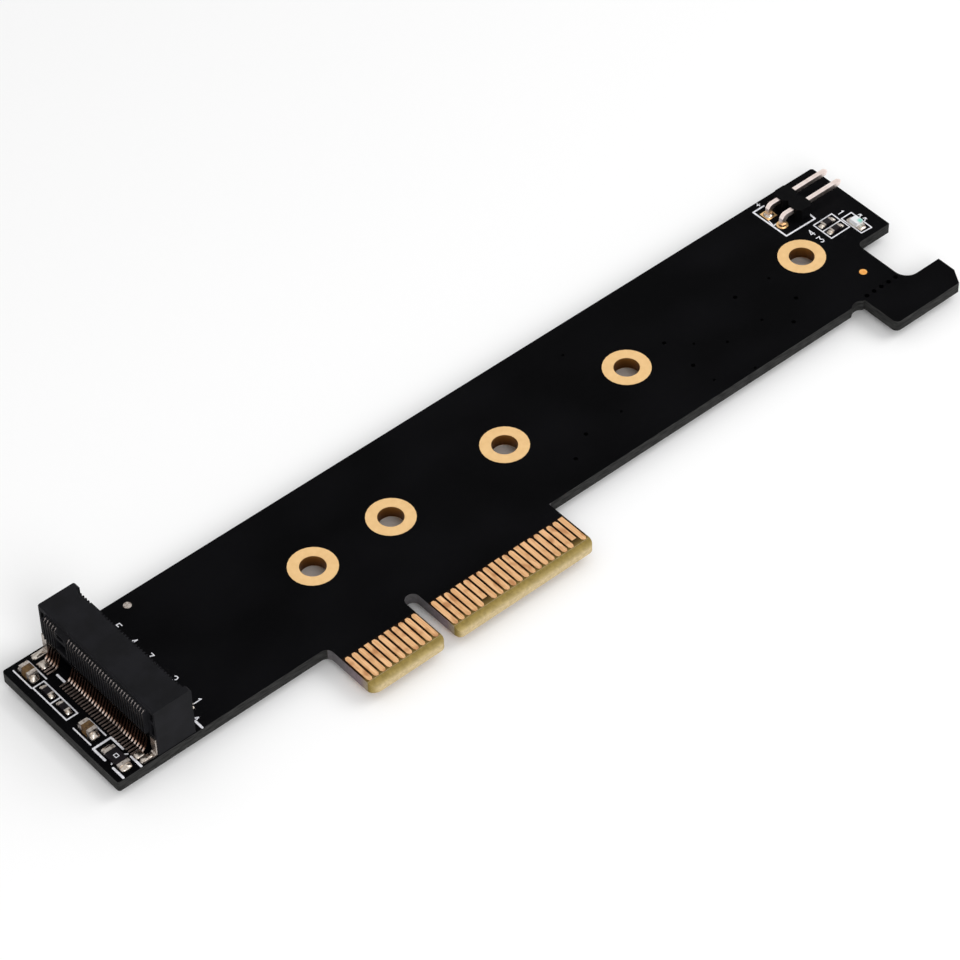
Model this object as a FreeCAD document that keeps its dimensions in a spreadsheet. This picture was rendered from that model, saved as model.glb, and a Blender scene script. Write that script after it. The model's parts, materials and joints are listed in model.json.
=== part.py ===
"""Card that holds one M.2 key-M module and plugs into a four-lane edge slot.

Frame: +X runs along the card from the module socket to the retention hook, +Y from the edge
contacts to the straight back edge, +Z up from the solder side to the component side. X = 0 is
the middle of the key slot, Y = 0 the middle of the long edge contacts and Z = 0 the solder side.
"""
import FreeCAD, Part
import Sketcher
import math
import os

from FreeCAD import Placement, Rotation, Vector

SIZES = [
    # board
    ("board_thickness", 1.6, "glass-fibre panel with its mask"),
    ("behind_socket", 5.85, "rear wall of the socket to the panel's end"),
    ("end_margin", 12.63, "farthest module hole to the hook end"),
    ("line_to_back", 11.2, "module line to the back edge"),
    ("line_to_front", 11.0, "module line to the front edge"),
    ("panel_corner", 0.35, "corner radius at the socket end"),
    ("far_corner", 0.4, "corner radius at the back of the hook end"),
    # edge connector
    ("contact_pitch", 1.0, "edge contact pitch"),
    ("contact_width", 0.7, "edge contact width"),
    ("contact_reach", 2.3, "half length of a long contact"),
    ("short_reach", 1.4, "how far a short contact goes below the middle"),
    ("short_start", 2.3, "how far a short contact goes above the middle"),
    ("contact_copper", 0.05, "plated copper thickness"),
    ("contact_end_sides", 3, "straight sides that make a contact's round end"),
    ("key_half_gap", 1.5, "key middle to the nearest contact"),
    ("contacts_left", 11, "contacts between the socket side and the key"),
    ("contacts_right", 21, "contacts beyond the key"),
    ("tongue_margin", 0.6, "end contact middle to the tongue side"),
    ("tongue_tip", 3.5, "contact middle to the tongue tip"),
    ("tip_corner", 1.1, "outer corner radius of the tongue"),
    ("key_corner", 0.6, "corner radius beside the key slot, hook side"),
    ("root_radius", 1.0, "fillet where the tongue meets the front edge"),
    ("bevel_length", 1.2, "length of the lead-in bevel"),
    ("bevel_drop", 0.38, "depth of the bevel at the tip"),
    ("key_width", 1.95, "key slot width"),
    ("key_depth", 4.95, "contact middle to the top of the key slot"),
    # hook end
    ("hook_length", 12.25, "hook along the card"),
    ("hook_drop", 0.8, "hook front below the contact middle"),
    ("hook_shoulder", 4.05, "height of the hook's upper edge"),
    ("hook_nose_length", 1.25, "nose chamfer along X"),
    ("hook_nose_height", 2.1, "nose chamfer along Y"),
    ("hook_corner", 0.8, "corner radius at the hook's root side"),
    ("bay_depth", 5.8, "depth of the hook bay from the hook end"),
    ("bay_top", 12.9, "upper edge of the hook bay"),
    ("bay_upper_radius", 0.9, "upper inner radius of the bay"),
    ("bay_lower_radius", 1.9, "lower inner radius of the bay"),
    ("relief_inset", 1.3, "relief middle from the hook's root side"),
    ("relief_height", 4.1, "height of the relief's middle"),
    ("relief_radius", 1.25, "radius of the round relief"),
    ("bite_radius", 0.33, "breakaway hole radius"),
    ("bite_pitch", 1.27, "breakaway hole pitch"),
    ("bite_count", 5, "breakaway holes"),
    ("bite_inset", 0.72, "first breakaway hole from the hook's root side"),
    ("bite_height", 5.27, "height of the row of breakaway holes"),
    # module mounting holes
    ("module_line", 15.9, "middle line of module, socket and holes"),
    ("module_seat", 35.38, "key slot to the seated end of the module"),
    ("hole_radius", 1.65, "finished hole radius"),
    ("hole_plating", 0.05, "barrel wall and ring thickness"),
    ("ring_radius", 3.1, "gold ring radius"),
    ("ring_sides", 28, "straight sides of a gold ring and of its barrel's outside"),
    # dots
    ("dot_radius", 0.52, "placement dot radius"),
    ("dot_thickness", 0.04, "placement dot thickness"),
    ("gold_dot_inset", 8.85, "gold dot from the hook end"),
    ("gold_dot_up", 8.65, "gold dot across the card"),
    ("tin_dot_left", 25.5, "tinned dot along the card"),
    ("tin_dot_setback", 1.5, "tinned dot from the back edge"),
    # socket housing
    ("socket_end", 1.675, "outermost upper contact to the end of the housing"),
    ("socket_top", 7.45, "housing height over the board"),
    ("socket_rear", 1.32, "rear wall behind the seated module end"),
    ("socket_mouth", 3.98, "cheeks in front of the seated module end"),
    ("lip_recess", 0.5, "how far the lips stay behind the cheeks"),
    ("slot_floor", 4.85, "height of the module slot's floor"),
    ("slot_gap", 1.3, "height of the module slot"),
    ("cheek_wall", 0.9, "end walls beside the module slot"),
    ("key_rib", 1.0, "key rib width"),
    ("pin_pitch", 0.5, "contact pitch of one row"),
    ("groove_width", 0.3, "contact groove width"),
    ("near_group", 29, "contacts between the front end and the key"),
    ("upper_far_group", 5, "upper contacts beyond the key"),
    ("lower_far_group", 4, "lower contacts beyond the key"),
    ("key_positions", 4, "contact positions that the key takes"),
    ("row_stagger", 0.5, "lower row behind the upper one, in pitches"),
    ("comb_depth", 0.6, "comb in front of the rear wall"),
    ("comb_bottom", 3.1, "height of the comb's lower edge"),
    ("comb_top", 6.7, "height of the comb's upper edge"),
    ("comb_margin", 1.35, "end columns beside the comb"),
    ("leg_recess", 0.6, "hollow of the rear wall below the comb"),
    ("pocket_width", 0.65, "core pockets in the end columns"),
    ("pocket_depth", 0.8, "depth of the core pockets"),
    ("end_pocket_low", 3.0, "lower end pocket over the board"),
    ("end_pocket_low_height", 1.9, "lower end pocket height"),
    ("end_pocket_high", 5.4, "upper end pocket over the board"),
    ("end_pocket_high_height", 1.3, "upper end pocket height"),
    ("key_pocket_low", 3.6, "lower key pocket over the board"),
    ("key_pocket_low_height", 1.7, "lower key pocket height"),
    ("key_pocket_low_half", 0.95, "lower key pocket half width"),
    ("key_pocket_high", 5.75, "upper key pocket over the board"),
    ("key_pocket_high_side", 0.6, "upper key pocket height and half width"),
    ("mouth_chamfer", 0.25, "chamfer over the cheeks"),
    ("rear_chamfer", 0.15, "chamfer over the rear wall"),
    ("comb_slope", 0.2, "rise of the comb's sloped top to each side"),
    ("rib_setback", 0.6, "key rib behind the lips"),
    ("groove_foot", 0.5, "rear groove below the comb's lower edge"),
    ("groove_wall", 0.12, "rear groove into the rear wall"),
    ("arm_space", 0.65, "height of the space for a contact's arm"),
    ("arm_stop", 0.3, "arm space past the seated module end"),
    ("slot_lap", 0.05, "groove lap into the slot or the rear wall"),
    ("lip_notch", 0.22, "notch of each groove in the lip"),
    ("groove_rise", 0.15, "upper groove over the comb"),
    ("groove_fall", 0.3, "fall of the upper groove behind the comb"),
    ("floor_inset", 0.35, "lower groove start past the seated module end"),
    ("floor_depth", 0.75, "lower groove depth and leg bend under the slot's floor"),
    ("foot_wall", 0.45, "lower groove behind the lips"),
    ("peg_radius", 0.55, "front locating peg radius"),
    ("wide_peg_radius", 0.75, "rear locating peg radius"),
    ("peg_length", 1.2, "locating peg length"),
    ("peg_inset", 1.325, "locating pegs from the ends of the housing"),
    ("peg_clearance", 0.05, "gap round a peg in its hole"),
    # socket contacts and clips
    ("strip_thickness", 0.15, "contact strip thickness"),
    ("strip_width", 0.22, "contact strip width"),
    ("lead_in", 0.6, "lead-in end behind the lips"),
    ("lead_rise", 0.12, "upper lead-in over the slot's roof"),
    ("touch_reach", 1.2, "touching bend from the lips, or from the seated module end"),
    ("touch_drop", 0.2, "touching bend into the slot"),
    ("arm_reach", 2.4, "upper arm's start from the lips"),
    ("arm_drop", 0.1, "arm under the comb's top"),
    ("arm_end", 0.2, "arm's end behind the rear wall"),
    ("arm_bend", 0.35, "height of the bend at the comb and of the lower arm's fall"),
    ("leg_inset", 0.17, "leg into the comb"),
    ("leg_knee", 1.9, "height of the leg's knee"),
    ("leg_swing", 0.25, "swing of the leg to each side"),
    ("leg_ankle", 0.5, "height of the leg's ankle"),
    ("heel", 0.62, "heel from the leg"),
    ("lower_start", 0.7, "lower free end past the seated module end"),
    ("lower_sink", 0.15, "lower free end under the slot's floor"),
    ("lower_leg_inset", 0.25, "lower leg behind the lips"),
    ("lower_ankle", 0.6, "height of the lower leg's ankle"),
    ("lower_heel", 0.45, "heel from the lower leg"),
    ("tail_reach", 2.3, "rear tail end behind the rear wall"),
    ("front_tail_reach", 1.0, "front tail end in front of the cheeks"),
    ("clip_thickness", 0.2, "hold-down clip sheet"),
    ("clip_bend_share", 1.6, "outside of the clip bend, in sheets"),
    ("clip_width", 0.9, "hold-down clip width"),
    ("clip_height", 2.7, "hold-down clip height"),
    ("clip_foot", 2.0, "hold-down foot length"),
    ("clip_inset", 0.12, "clip from the end of the housing"),
    # indicator header
    ("header_inset", 10.35, "header hole row from the hook end"),
    ("header_setback", 4.0, "middle of the header from the back edge"),
    ("header_pitch", 2.54, "header pin pitch"),
    ("header_block", 2.5, "header block depth"),
    ("header_height", 2.0, "header block height"),
    ("header_standoff", 1.7, "hole row to the block"),
    ("header_chamfer", 0.5, "corner cut of each header cell"),
    ("post_width", 0.64, "square post width"),
    ("post_height", 1.5, "post middle over the board"),
    ("post_reach", 6.0, "post length in front of the block"),
    ("post_tail", 1.3, "post end below the board"),
    ("post_taper", 0.35, "taper at a post's ends"),
    ("post_tip_share", 0.5, "width of a post's tip, in post widths"),
    ("bend_top_share", 0.5, "top of the bend's cut corner, in half widths"),
    ("bend_side_share", 0.8, "side of the bend's cut corner, in half widths"),
    ("header_drill", 0.55, "header hole radius"),
    ("header_plating", 0.05, "header barrel wall"),
    ("header_pad", 0.8, "header pad radius"),
    ("overshoot", 1, "how far a cut runs past the face it opens"),
    ("small_round_sides", 12, "straight sides of the smallest rounds"),
    ("solder_height", 0.9, "solder cone height"),
    ("solder_radius", 0.7, "solder cone base radius"),
    ("solder_neck_share", 1.5, "solder cone tip radius, in half post widths"),
    # chip parts
    ("chip_inset", 2.05, "column of chip parts from the panel's end"),
    ("large_cap_length", 2.0, "large capacitor length"),
    ("large_cap_width", 1.25, "large capacitor width"),
    ("large_cap_height", 1.25, "large capacitor height"),
    ("large_cap_end", 0.5, "large capacitor end cap"),
    ("large_cap_setback", 2.5, "back large capacitor from the back edge"),
    ("large_cap_front", 2.8, "front large capacitor before the module line"),
    ("small_chip_length", 1.6, "small resistor length"),
    ("small_chip_width", 0.8, "small resistor width"),
    ("small_chip_height", 0.45, "small resistor height"),
    ("small_chip_end", 0.3, "small resistor end cap"),
    ("socket_pair_back", 5.1, "back small resistor beyond the module line"),
    ("socket_pair_front", 1.9, "front small resistor beyond the module line"),
    ("lamp_pair_inset", 5.95, "lamp resistors from the hook end"),
    ("lamp_pair_back", 2.3, "back lamp resistor beyond the module line"),
    ("lamp_pair_front", 0.75, "front lamp resistor beyond the module line"),
    ("link_length", 3.2, "zero-ohm link length"),
    ("link_width", 1.6, "zero-ohm link width"),
    ("link_height", 0.55, "zero-ohm link height"),
    ("link_end", 0.5, "zero-ohm link end cap"),
    ("link_place", 8.05, "zero-ohm link before the module line"),
    ("lamp_length", 2.0, "status lamp length"),
    ("lamp_width", 1.25, "status lamp width"),
    ("lamp_base", 0.3, "status lamp carrier thickness"),
    ("lamp_height", 0.8, "status lamp height"),
    ("lens_top_share", 0.85, "lens width at the top, in carrier widths"),
    ("lamp_end", 0.35, "status lamp end pad"),
    ("lamp_inset", 3.2, "status lamp from the hook end"),
    ("lamp_place", 0.25, "status lamp before the module line"),
    ("tiny_cap_length", 1.0, "tiny capacitor length"),
    ("tiny_cap_width", 0.5, "tiny capacitor width"),
    ("tiny_cap_end", 0.25, "tiny capacitor end cap"),
    ("tiny_cap_setoff", 1.9, "tiny capacitors in front of the cheeks"),
    ("tiny_cap_first", 7.3, "first tiny capacitor before the module line"),
    ("tiny_cap_pitch", 3.7, "tiny capacitor spacing"),
    ("tiny_cap_count", 5, "tiny capacitors"),
]

MODULE_LENGTHS = (30, 42, 60, 80, 110)
HOLE_NAMES = ("hole_liner_30", "hole_liner_42", "hole_liner_60", "hole_liner_80", "hole_liner_110")

doc = FreeCAD.newDocument("adapter_card")


class Size:
    """A length that knows both its number and the sheet expression that gives it."""

    def __init__(self, value, text):
        self.value = float(value)
        self.text = text

    def _join(self, other, sign, value):
        return Size(value, "(%s %s %s)" % (self.text, sign, other.text))

    def __add__(self, other):
        other = as_size(other)
        return self._join(other, "+", self.value + other.value)

    def __radd__(self, other):
        return as_size(other) + self

    def __sub__(self, other):
        other = as_size(other)
        return self._join(other, "-", self.value - other.value)

    def __rsub__(self, other):
        return as_size(other) - self

    def __mul__(self, other):
        other = as_size(other)
        return self._join(other, "*", self.value * other.value)

    __rmul__ = __mul__

    def __truediv__(self, other):
        other = as_size(other)
        return self._join(other, "/", self.value / other.value)

    def __neg__(self):
        return Size(-self.value, "(0 - %s)" % self.text)


def as_size(number):
    """Let a plain number take part in Size arithmetic."""
    return number if isinstance(number, Size) else Size(number, repr(float(number)))


def make_sheet():
    """Write the driving dimensions into the sheet and return them by name."""
    sheet = doc.addObject("Spreadsheet::Sheet", "Sizes")
    for row, (alias, value, note) in enumerate(SIZES, start=1):
        sheet.set("A%d" % row, note)
        sheet.set("B%d" % row, repr(value))
        sheet.setAlias("B%d" % row, alias)
    doc.recompute()
    return {alias: Size(getattr(sheet, alias), "Sizes.%s" % alias) for alias, _, _ in SIZES}


S = make_sheet()
TOP = S["board_thickness"]
PARTS = []


def keep(obj, label):
    """Give a finished sub-part the name of its node."""
    obj.Label = label
    PARTS.append(obj)
    return obj


# ---------------------------------------------------------------- sketch and feature helpers

def new_body(label):
    return keep(doc.addObject("PartDesign::Body", label), label)


def origin_item(body, role):
    return next(item for item in body.Origin.OriginFeatures if item.Role == role)


def new_sketch(body, name, plane, offset=0.0):
    """A sketch on one of the body's origin planes, moved along its normal by offset."""
    sketch = body.newObject("Sketcher::SketchObject", name)
    sketch.AttachmentSupport = [(origin_item(body, plane), "")]
    sketch.MapMode = "FlatFace"
    offset = as_size(offset)
    sketch.AttachmentOffset = Placement(Vector(0, 0, offset.value), Rotation())
    sketch.setExpression("AttachmentOffset.Base.z", offset.text)
    return sketch


def pin_point(sketch, geometry, end, x, y):
    """Hold a point of the sketch at x, y from the origin by the sheet's sizes."""
    for kind, place in (("DistanceX", as_size(x)), ("DistanceY", as_size(y))):
        index = sketch.addConstraint(Sketcher.Constraint(kind, -1, 1, geometry, end, place.value))
        sketch.setExpression("Constraints[%d]" % index, place.text)


def add_polygon(sketch, points):
    """Closed straight outline through the points, each held by its sizes."""
    corners = [Vector(as_size(x).value, as_size(y).value, 0) for x, y in points]
    first = sketch.GeometryCount
    for start, end in zip(corners, corners[1:] + corners[:1]):
        sketch.addGeometry(Part.LineSegment(start, end), False)
    count = len(corners)
    for step in range(count):
        following = first + (step + 1) % count
        sketch.addConstraint(Sketcher.Constraint("Coincident", first + step, 2, following, 1))
    for step, (x, y) in enumerate(points):
        pin_point(sketch, first + step, 1, x, y)


def add_rectangle(sketch, left, right, bottom, top):
    add_polygon(sketch, [(left, bottom), (right, bottom), (right, top), (left, top)])


def add_circle(sketch, x, y, radius):
    centre = Vector(as_size(x).value, as_size(y).value, 0)
    index = sketch.addGeometry(Part.Circle(centre, Vector(0, 0, 1), radius.value), False)
    pin_point(sketch, index, 3, x, y)
    held = sketch.addConstraint(Sketcher.Constraint("Radius", index, radius.value))
    sketch.setExpression("Constraints[%d]" % held, radius.text)


def add_round(sketch, x, y, radius, sides):
    """Even-sided outline whose corners lie on a circle, for rounds too small to need an arc."""
    turns = [2 * math.pi * step / int(sides.value) for step in range(int(sides.value))]
    add_polygon(sketch, [(x + radius * round(math.cos(turn), 6), y + radius * round(math.sin(turn), 6))
                         for turn in turns])


def extrude(body, kind, name, sketch, length, reverse=False):
    """Pad or Pocket of a sketch by a length of the sheet; a Pocket has to take something away."""
    doc.recompute()
    before = body.Shape.Volume if body.Shape.Faces else 0.0
    feature = body.newObject("PartDesign::" + kind, name)
    feature.Profile = sketch
    feature.Type = 0
    feature.Length = as_size(length).value
    feature.setExpression("Length", as_size(length).text)
    feature.Reversed = reverse
    doc.recompute()
    if kind == "Pocket" and feature.Shape.Volume > before - 1e-6:
        raise RuntimeError("%s of %s takes nothing away" % (name, body.Label))
    return feature


def pattern(body, name, original, count, length, axis):
    """Repeat a feature along an axis of the body; count and span come from the sheet."""
    before = body.Shape.Volume
    feature = body.newObject("PartDesign::LinearPattern", name)
    feature.Originals = [original]
    feature.Direction = (origin_item(body, axis), [""])
    feature.Length = length.value
    feature.setExpression("Length", length.text)
    feature.Occurrences = int(count.value)
    feature.setExpression("Occurrences", count.text)
    body.Tip = feature
    doc.recompute()
    if count.value > 1 and abs(feature.Shape.Volume - before) < 1e-6:
        raise RuntimeError("%s of %s repeats nothing" % (name, body.Label))
    return feature


def upright_edges(shape, x, y):
    """Names of the vertical edges that stand at x, y."""
    names = []
    for number, edge in enumerate(shape.Edges, start=1):
        points = [vertex.Point for vertex in edge.Vertexes]
        if len(points) != 2 or abs(points[0].z - points[1].z) < 1e-6:
            continue
        if all(math.hypot(p.x - x.value, p.y - y.value) < 1e-4 for p in points):
            names.append("Edge%d" % number)
    return names


def round_upright(body, name, x, y, radius):
    """Round the vertical corner at x, y."""
    base = body.Tip
    names = upright_edges(base.Shape, as_size(x), as_size(y))
    if not names:
        raise RuntimeError("no corner for %s" % name)
    fillet = body.newObject("PartDesign::Fillet", name)
    fillet.Base = (base, names)
    fillet.Radius = radius.value
    fillet.setExpression("Radius", radius.text)
    doc.recompute()


def block(name, low, high):
    """Part::Box between two corners, bound to the sheet."""
    box = doc.addObject("Part::Box", name)
    for prop, axis, first, last in zip(("Length", "Width", "Height"), "xyz", low, high):
        first, last = as_size(first), as_size(last)
        setattr(box, prop, (last - first).value)
        box.setExpression(prop, (last - first).text)
        box.setExpression("Placement.Base." + axis, first.text)
    return box


def drum(name, x, y, z, radius, height, sides):
    """Upright Part::Prism, bound to the sheet."""
    rod = doc.addObject("Part::Prism", name)
    rod.setExpression("Polygon", sides.text)
    rod.setExpression("Circumradius", radius.text)
    rod.setExpression("Height", height.text)
    for axis, place in zip("xyz", (x, y, z)):
        rod.setExpression("Placement.Base." + axis, as_size(place).text)
    return rod


def group(label, members):
    """Several separate solids that share a node."""
    compound = doc.addObject("Part::Compound", label)
    compound.Links = members
    return keep(compound, label)


def plain(label, shapes):
    """A node whose solids are worked out here from the sheet's sizes."""
    feature = doc.addObject("Part::Feature", label)
    feature.Shape = Part.Compound(shapes) if len(shapes) > 1 else shapes[0]
    feature.Placement = Placement()
    return keep(feature, label)


# ---------------------------------------------------------------- places that pieces share

TONGUE_LEFT = -(S["key_half_gap"] + (S["contacts_left"] - 1) * S["contact_pitch"] + S["tongue_margin"])
TONGUE_RIGHT = S["key_half_gap"] + (S["contacts_right"] - 1) * S["contact_pitch"] + S["tongue_margin"]
SEAT = -S["module_seat"]
LINE = S["module_line"]
REAR = SEAT - S["socket_rear"]
CHEEK = SEAT + S["socket_mouth"]
LIP = CHEEK - S["lip_recess"]
COMB = REAR - S["comb_depth"]
LEFT = REAR - S["behind_socket"]
RIGHT = SEAT + MODULE_LENGTHS[-1] + S["end_margin"]
BACK = LINE + S["line_to_back"]
FRONT = LINE - S["line_to_front"]
HOOK = RIGHT - S["hook_length"]
HEADER_HOLE = RIGHT - S["header_inset"]
HEADER_LINE = BACK - S["header_setback"]
PIN_SPAN = (S["near_group"] + S["key_positions"] + S["upper_far_group"] - 1) * S["pin_pitch"]
FIRST_PIN = LINE - PIN_SPAN / 2
KEY = FIRST_PIN + (S["near_group"] + S["key_positions"] / 2 - S["row_stagger"] / 2) * S["pin_pitch"]
SOCKET_LENGTH = PIN_SPAN + 2 * S["socket_end"]
SOCKET_FRONT = LINE - SOCKET_LENGTH / 2
SOCKET_BACK = LINE + SOCKET_LENGTH / 2
HEADER_ROWS = (HEADER_LINE + S["header_pitch"] / 2, HEADER_LINE - S["header_pitch"] / 2)
PEGS = ((SOCKET_FRONT + S["peg_inset"], S["peg_radius"]),
        (SOCKET_BACK - S["peg_inset"], S["wide_peg_radius"]))
PEG_COLUMN = (REAR + LIP) / 2


# ---------------------------------------------------------------- board

def make_board():
    """Routed panel: outline, key slot, relief, bevels and drilled holes."""
    body = new_body("board")
    left, right, back, front, tip = LEFT, RIGHT, BACK, FRONT, -S["tongue_tip"]
    hook, hook_front, shoulder = HOOK, -S["hook_drop"], S["hook_shoulder"]
    bay, bay_top = right - S["bay_depth"], S["bay_top"]
    outline = new_sketch(body, "BoardOutline", "XY_Plane")
    add_polygon(outline, [
        (left, back), (left, front), (TONGUE_LEFT, front), (TONGUE_LEFT, tip), (TONGUE_RIGHT, tip),
        (TONGUE_RIGHT, front), (hook, front), (hook, hook_front),
        (right - S["hook_nose_length"], hook_front), (right, hook_front + S["hook_nose_height"]),
        (right, shoulder), (bay, shoulder), (bay, bay_top), (right, bay_top), (right, back)])
    extrude(body, "Pad", "Panel", outline, TOP)

    half_key = S["key_width"] / 2
    key_centre = S["key_depth"] - half_key
    slot = new_sketch(body, "KeySlot", "XY_Plane")
    add_rectangle(slot, -half_key, half_key, tip - 1, key_centre)
    extrude(body, "Pocket", "KeySlotCut", slot, TOP, reverse=True)
    slot_end = new_sketch(body, "KeySlotEnd", "XY_Plane")
    add_circle(slot_end, 0, key_centre, half_key)
    extrude(body, "Pocket", "KeySlotEndCut", slot_end, TOP, reverse=True)

    for name, x, y, radius in (
            ("BackCorner", left, back, S["panel_corner"]),
            ("FrontCorner", left, front, S["panel_corner"]),
            ("FarCorner", right, back, S["far_corner"]),
            ("TongueRoot", TONGUE_LEFT, front, S["root_radius"]),
            ("TongueCorner", TONGUE_LEFT, tip, S["tip_corner"]),
            ("KeyCornerNear", -half_key, tip, S["tip_corner"]),
            ("KeyCornerFar", half_key, tip, S["key_corner"]),
            ("TongueFarCorner", TONGUE_RIGHT, tip, S["tip_corner"]),
            ("HookCorner", hook, hook_front, S["hook_corner"]),
            ("BayUpper", bay, bay_top, S["bay_upper_radius"]),
            ("BayLower", bay, shoulder, S["bay_lower_radius"])):
        round_upright(body, name, x, y, radius)

    relief = new_sketch(body, "Relief", "XY_Plane")
    add_circle(relief, hook - S["relief_inset"], S["relief_height"], S["relief_radius"])
    extrude(body, "Pocket", "ReliefCut", relief, TOP, reverse=True)

    # each bevel is a wedge that starts on a face and is deepest at the tip
    past = tip - S["overshoot"]
    fall = S["bevel_drop"] * (S["bevel_length"] + S["overshoot"]) / S["bevel_length"]
    start = tip + S["bevel_length"]
    for name, face, side in (("UpperBevel", TOP, 1), ("LowerBevel", as_size(0), -1)):
        wedge = new_sketch(body, name, "YZ_Plane", left)
        add_polygon(wedge, [(start, face), (past, face - side * fall), (past, face + side)])
        extrude(body, "Pocket", name + "Cut", wedge, right - left, reverse=True)

    holes = new_sketch(body, "ModuleHoles", "XY_Plane")
    for length in MODULE_LENGTHS:
        add_round(holes, SEAT + length, LINE, S["hole_radius"] + S["hole_plating"], S["ring_sides"])
    extrude(body, "Pocket", "ModuleHolesCut", holes, TOP, reverse=True)

    sides = S["small_round_sides"]
    drills = new_sketch(body, "Drills", "XY_Plane")
    for row in HEADER_ROWS:
        add_round(drills, HEADER_HOLE, row, S["header_drill"], sides)
    for place, radius in PEGS:
        add_round(drills, PEG_COLUMN, place, radius + S["peg_clearance"], sides)
    for step in range(int(S["bite_count"].value)):
        add_round(drills, hook + S["bite_inset"] + S["bite_pitch"] * step, S["bite_height"],
                  S["bite_radius"], sides)
    extrude(body, "Pocket", "DrillsCut", drills, TOP, reverse=True)


def make_hole_liners():
    """Barrel with a gold ring on each face, bored through; only the bore is a true round."""
    plating, sides = S["hole_plating"], S["ring_sides"]
    wall = S["hole_radius"] + plating
    for label, length in zip(HOLE_NAMES, MODULE_LENGTHS):
        body = new_body(label)
        centre = SEAT + length
        for name, start, radius, height, reverse in (
                ("_barrel", as_size(0), wall, TOP, False),
                ("_upper_ring", TOP, S["ring_radius"], plating, False),
                ("_lower_ring", as_size(0), S["ring_radius"], plating, True)):
            sketch = new_sketch(body, label + name, "XY_Plane", start)
            add_round(sketch, centre, LINE, radius, sides)
            extrude(body, "Pad", label + name + "_pad", sketch, height, reverse=reverse)
        bore = new_sketch(body, label + "_bore", "XY_Plane", TOP + plating)
        add_circle(bore, centre, LINE, S["hole_radius"])
        extrude(body, "Pocket", label + "_bore_cut", bore, TOP + plating * 2)


# ---------------------------------------------------------------- edge contacts and dots

def contact_pad(x, low, high, z, square_top, square_bottom):
    """One flat contact along Y; a round end is a half circle of a few straight sides."""
    half, sides = S["contact_width"].value / 2, int(S["contact_end_sides"].value)
    points = []
    for square, end, turn in ((square_top, high, 1), (square_bottom, low, -1)):
        if square:
            points += [Vector(x + turn * half, end, z), Vector(x - turn * half, end, z)]
            continue
        middle = end - turn * half
        for step in range(sides + 1):
            angle = math.pi * step / sides
            points.append(Vector(x + turn * half * math.cos(angle),
                                 middle + turn * half * math.sin(angle), z))
    face = Part.Face(Part.makePolygon(points + points[:1]))
    return face.extrude(Vector(0, 0, S["contact_copper"].value))


def contact_places():
    """Place of each contact along X, in order from the socket side."""
    gap, pitch = S["key_half_gap"].value, S["contact_pitch"].value
    left_count, right_count = int(S["contacts_left"].value), int(S["contacts_right"].value)
    near = [-gap - pitch * step for step in reversed(range(left_count))]
    return near + [gap + pitch * step for step in range(right_count)]


def make_edge_contacts():
    """Two rows of contacts; the detect contacts are shorter, and poured grounds have square tops."""
    reach, short = S["contact_reach"].value, S["short_reach"].value
    sides = (
        ("component", S["board_thickness"].value, {17, 31}, {4, 7, 13, 16, 18, 21, 22, 25, 26, 29, 32}),
        ("solder", -S["contact_copper"].value, {1}, {4, 12, 15, 18, 20, 23, 24, 27, 28, 31}))
    for side, z, shorts, grounds in sides:
        long_pads, short_pads = [], []
        for number, x in enumerate(contact_places(), start=1):
            if number in shorts:
                short_pads.append(contact_pad(x, -short, S["short_start"].value, z, False, True))
            else:
                long_pads.append(contact_pad(x, -reach, reach, z, number in grounds, False))
        plain("long_contacts_%s_side" % side, long_pads)
        plain("short_contacts_%s_side" % side, short_pads)


def make_dots():
    """Bare metal dots that placement machines aim at."""
    for label, x, y in (("gold_dot", RIGHT - S["gold_dot_inset"], S["gold_dot_up"]),
                        ("tinned_dot", -S["tin_dot_left"], BACK - S["tin_dot_setback"])):
        keep(drum(label, x, y, TOP, S["dot_radius"], S["dot_thickness"], S["small_round_sides"]), label)


# ---------------------------------------------------------------- module socket

def pin_rows():
    """For each row: name, first place, and the count of each of its two groups."""
    step = S["pin_pitch"]
    for name, start, far in (("upper", FIRST_PIN, S["upper_far_group"]),
                             ("lower", FIRST_PIN + S["row_stagger"] * step, S["lower_far_group"])):
        beyond = start + (S["near_group"] + S["key_positions"]) * step
        yield name, (start, S["near_group"]), (beyond, far)


UPPER_GROOVE_TOP = S["comb_top"] + S["groove_rise"]
SLOT_TOP = S["slot_floor"] + S["slot_gap"]


def groove_outline(row):
    """Side view, along the card, of the space that one contact needs in the housing."""
    past = S["overshoot"]
    if row == "upper":
        inner, top = TOP + S["comb_bottom"] - S["groove_foot"], TOP + UPPER_GROOVE_TOP
        wall, behind, lap = REAR + S["groove_wall"], COMB - past / 2, S["slot_lap"]
        stop, notch, roof = SEAT - S["arm_stop"], LIP - S["lip_notch"], TOP + SLOT_TOP - lap
        return [
            (behind, inner), (wall, inner), (wall, top - S["arm_space"]), (stop, top - S["arm_space"]),
            (stop, roof), (LIP + past, roof), (LIP + past, TOP + S["socket_top"] + past),
            (notch, TOP + S["socket_top"] + past), (notch, top), (REAR - lap, top),
            (behind, top - S["groove_fall"])]
    floor = TOP + S["slot_floor"]
    start, wall = SEAT + S["floor_inset"], LIP - S["foot_wall"]
    return [
        (LIP + past, TOP - past), (LIP + past, floor + S["slot_lap"]), (start, floor + S["slot_lap"]),
        (start, floor - S["floor_depth"]), (wall, floor - S["floor_depth"]), (wall, TOP - past)]


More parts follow.
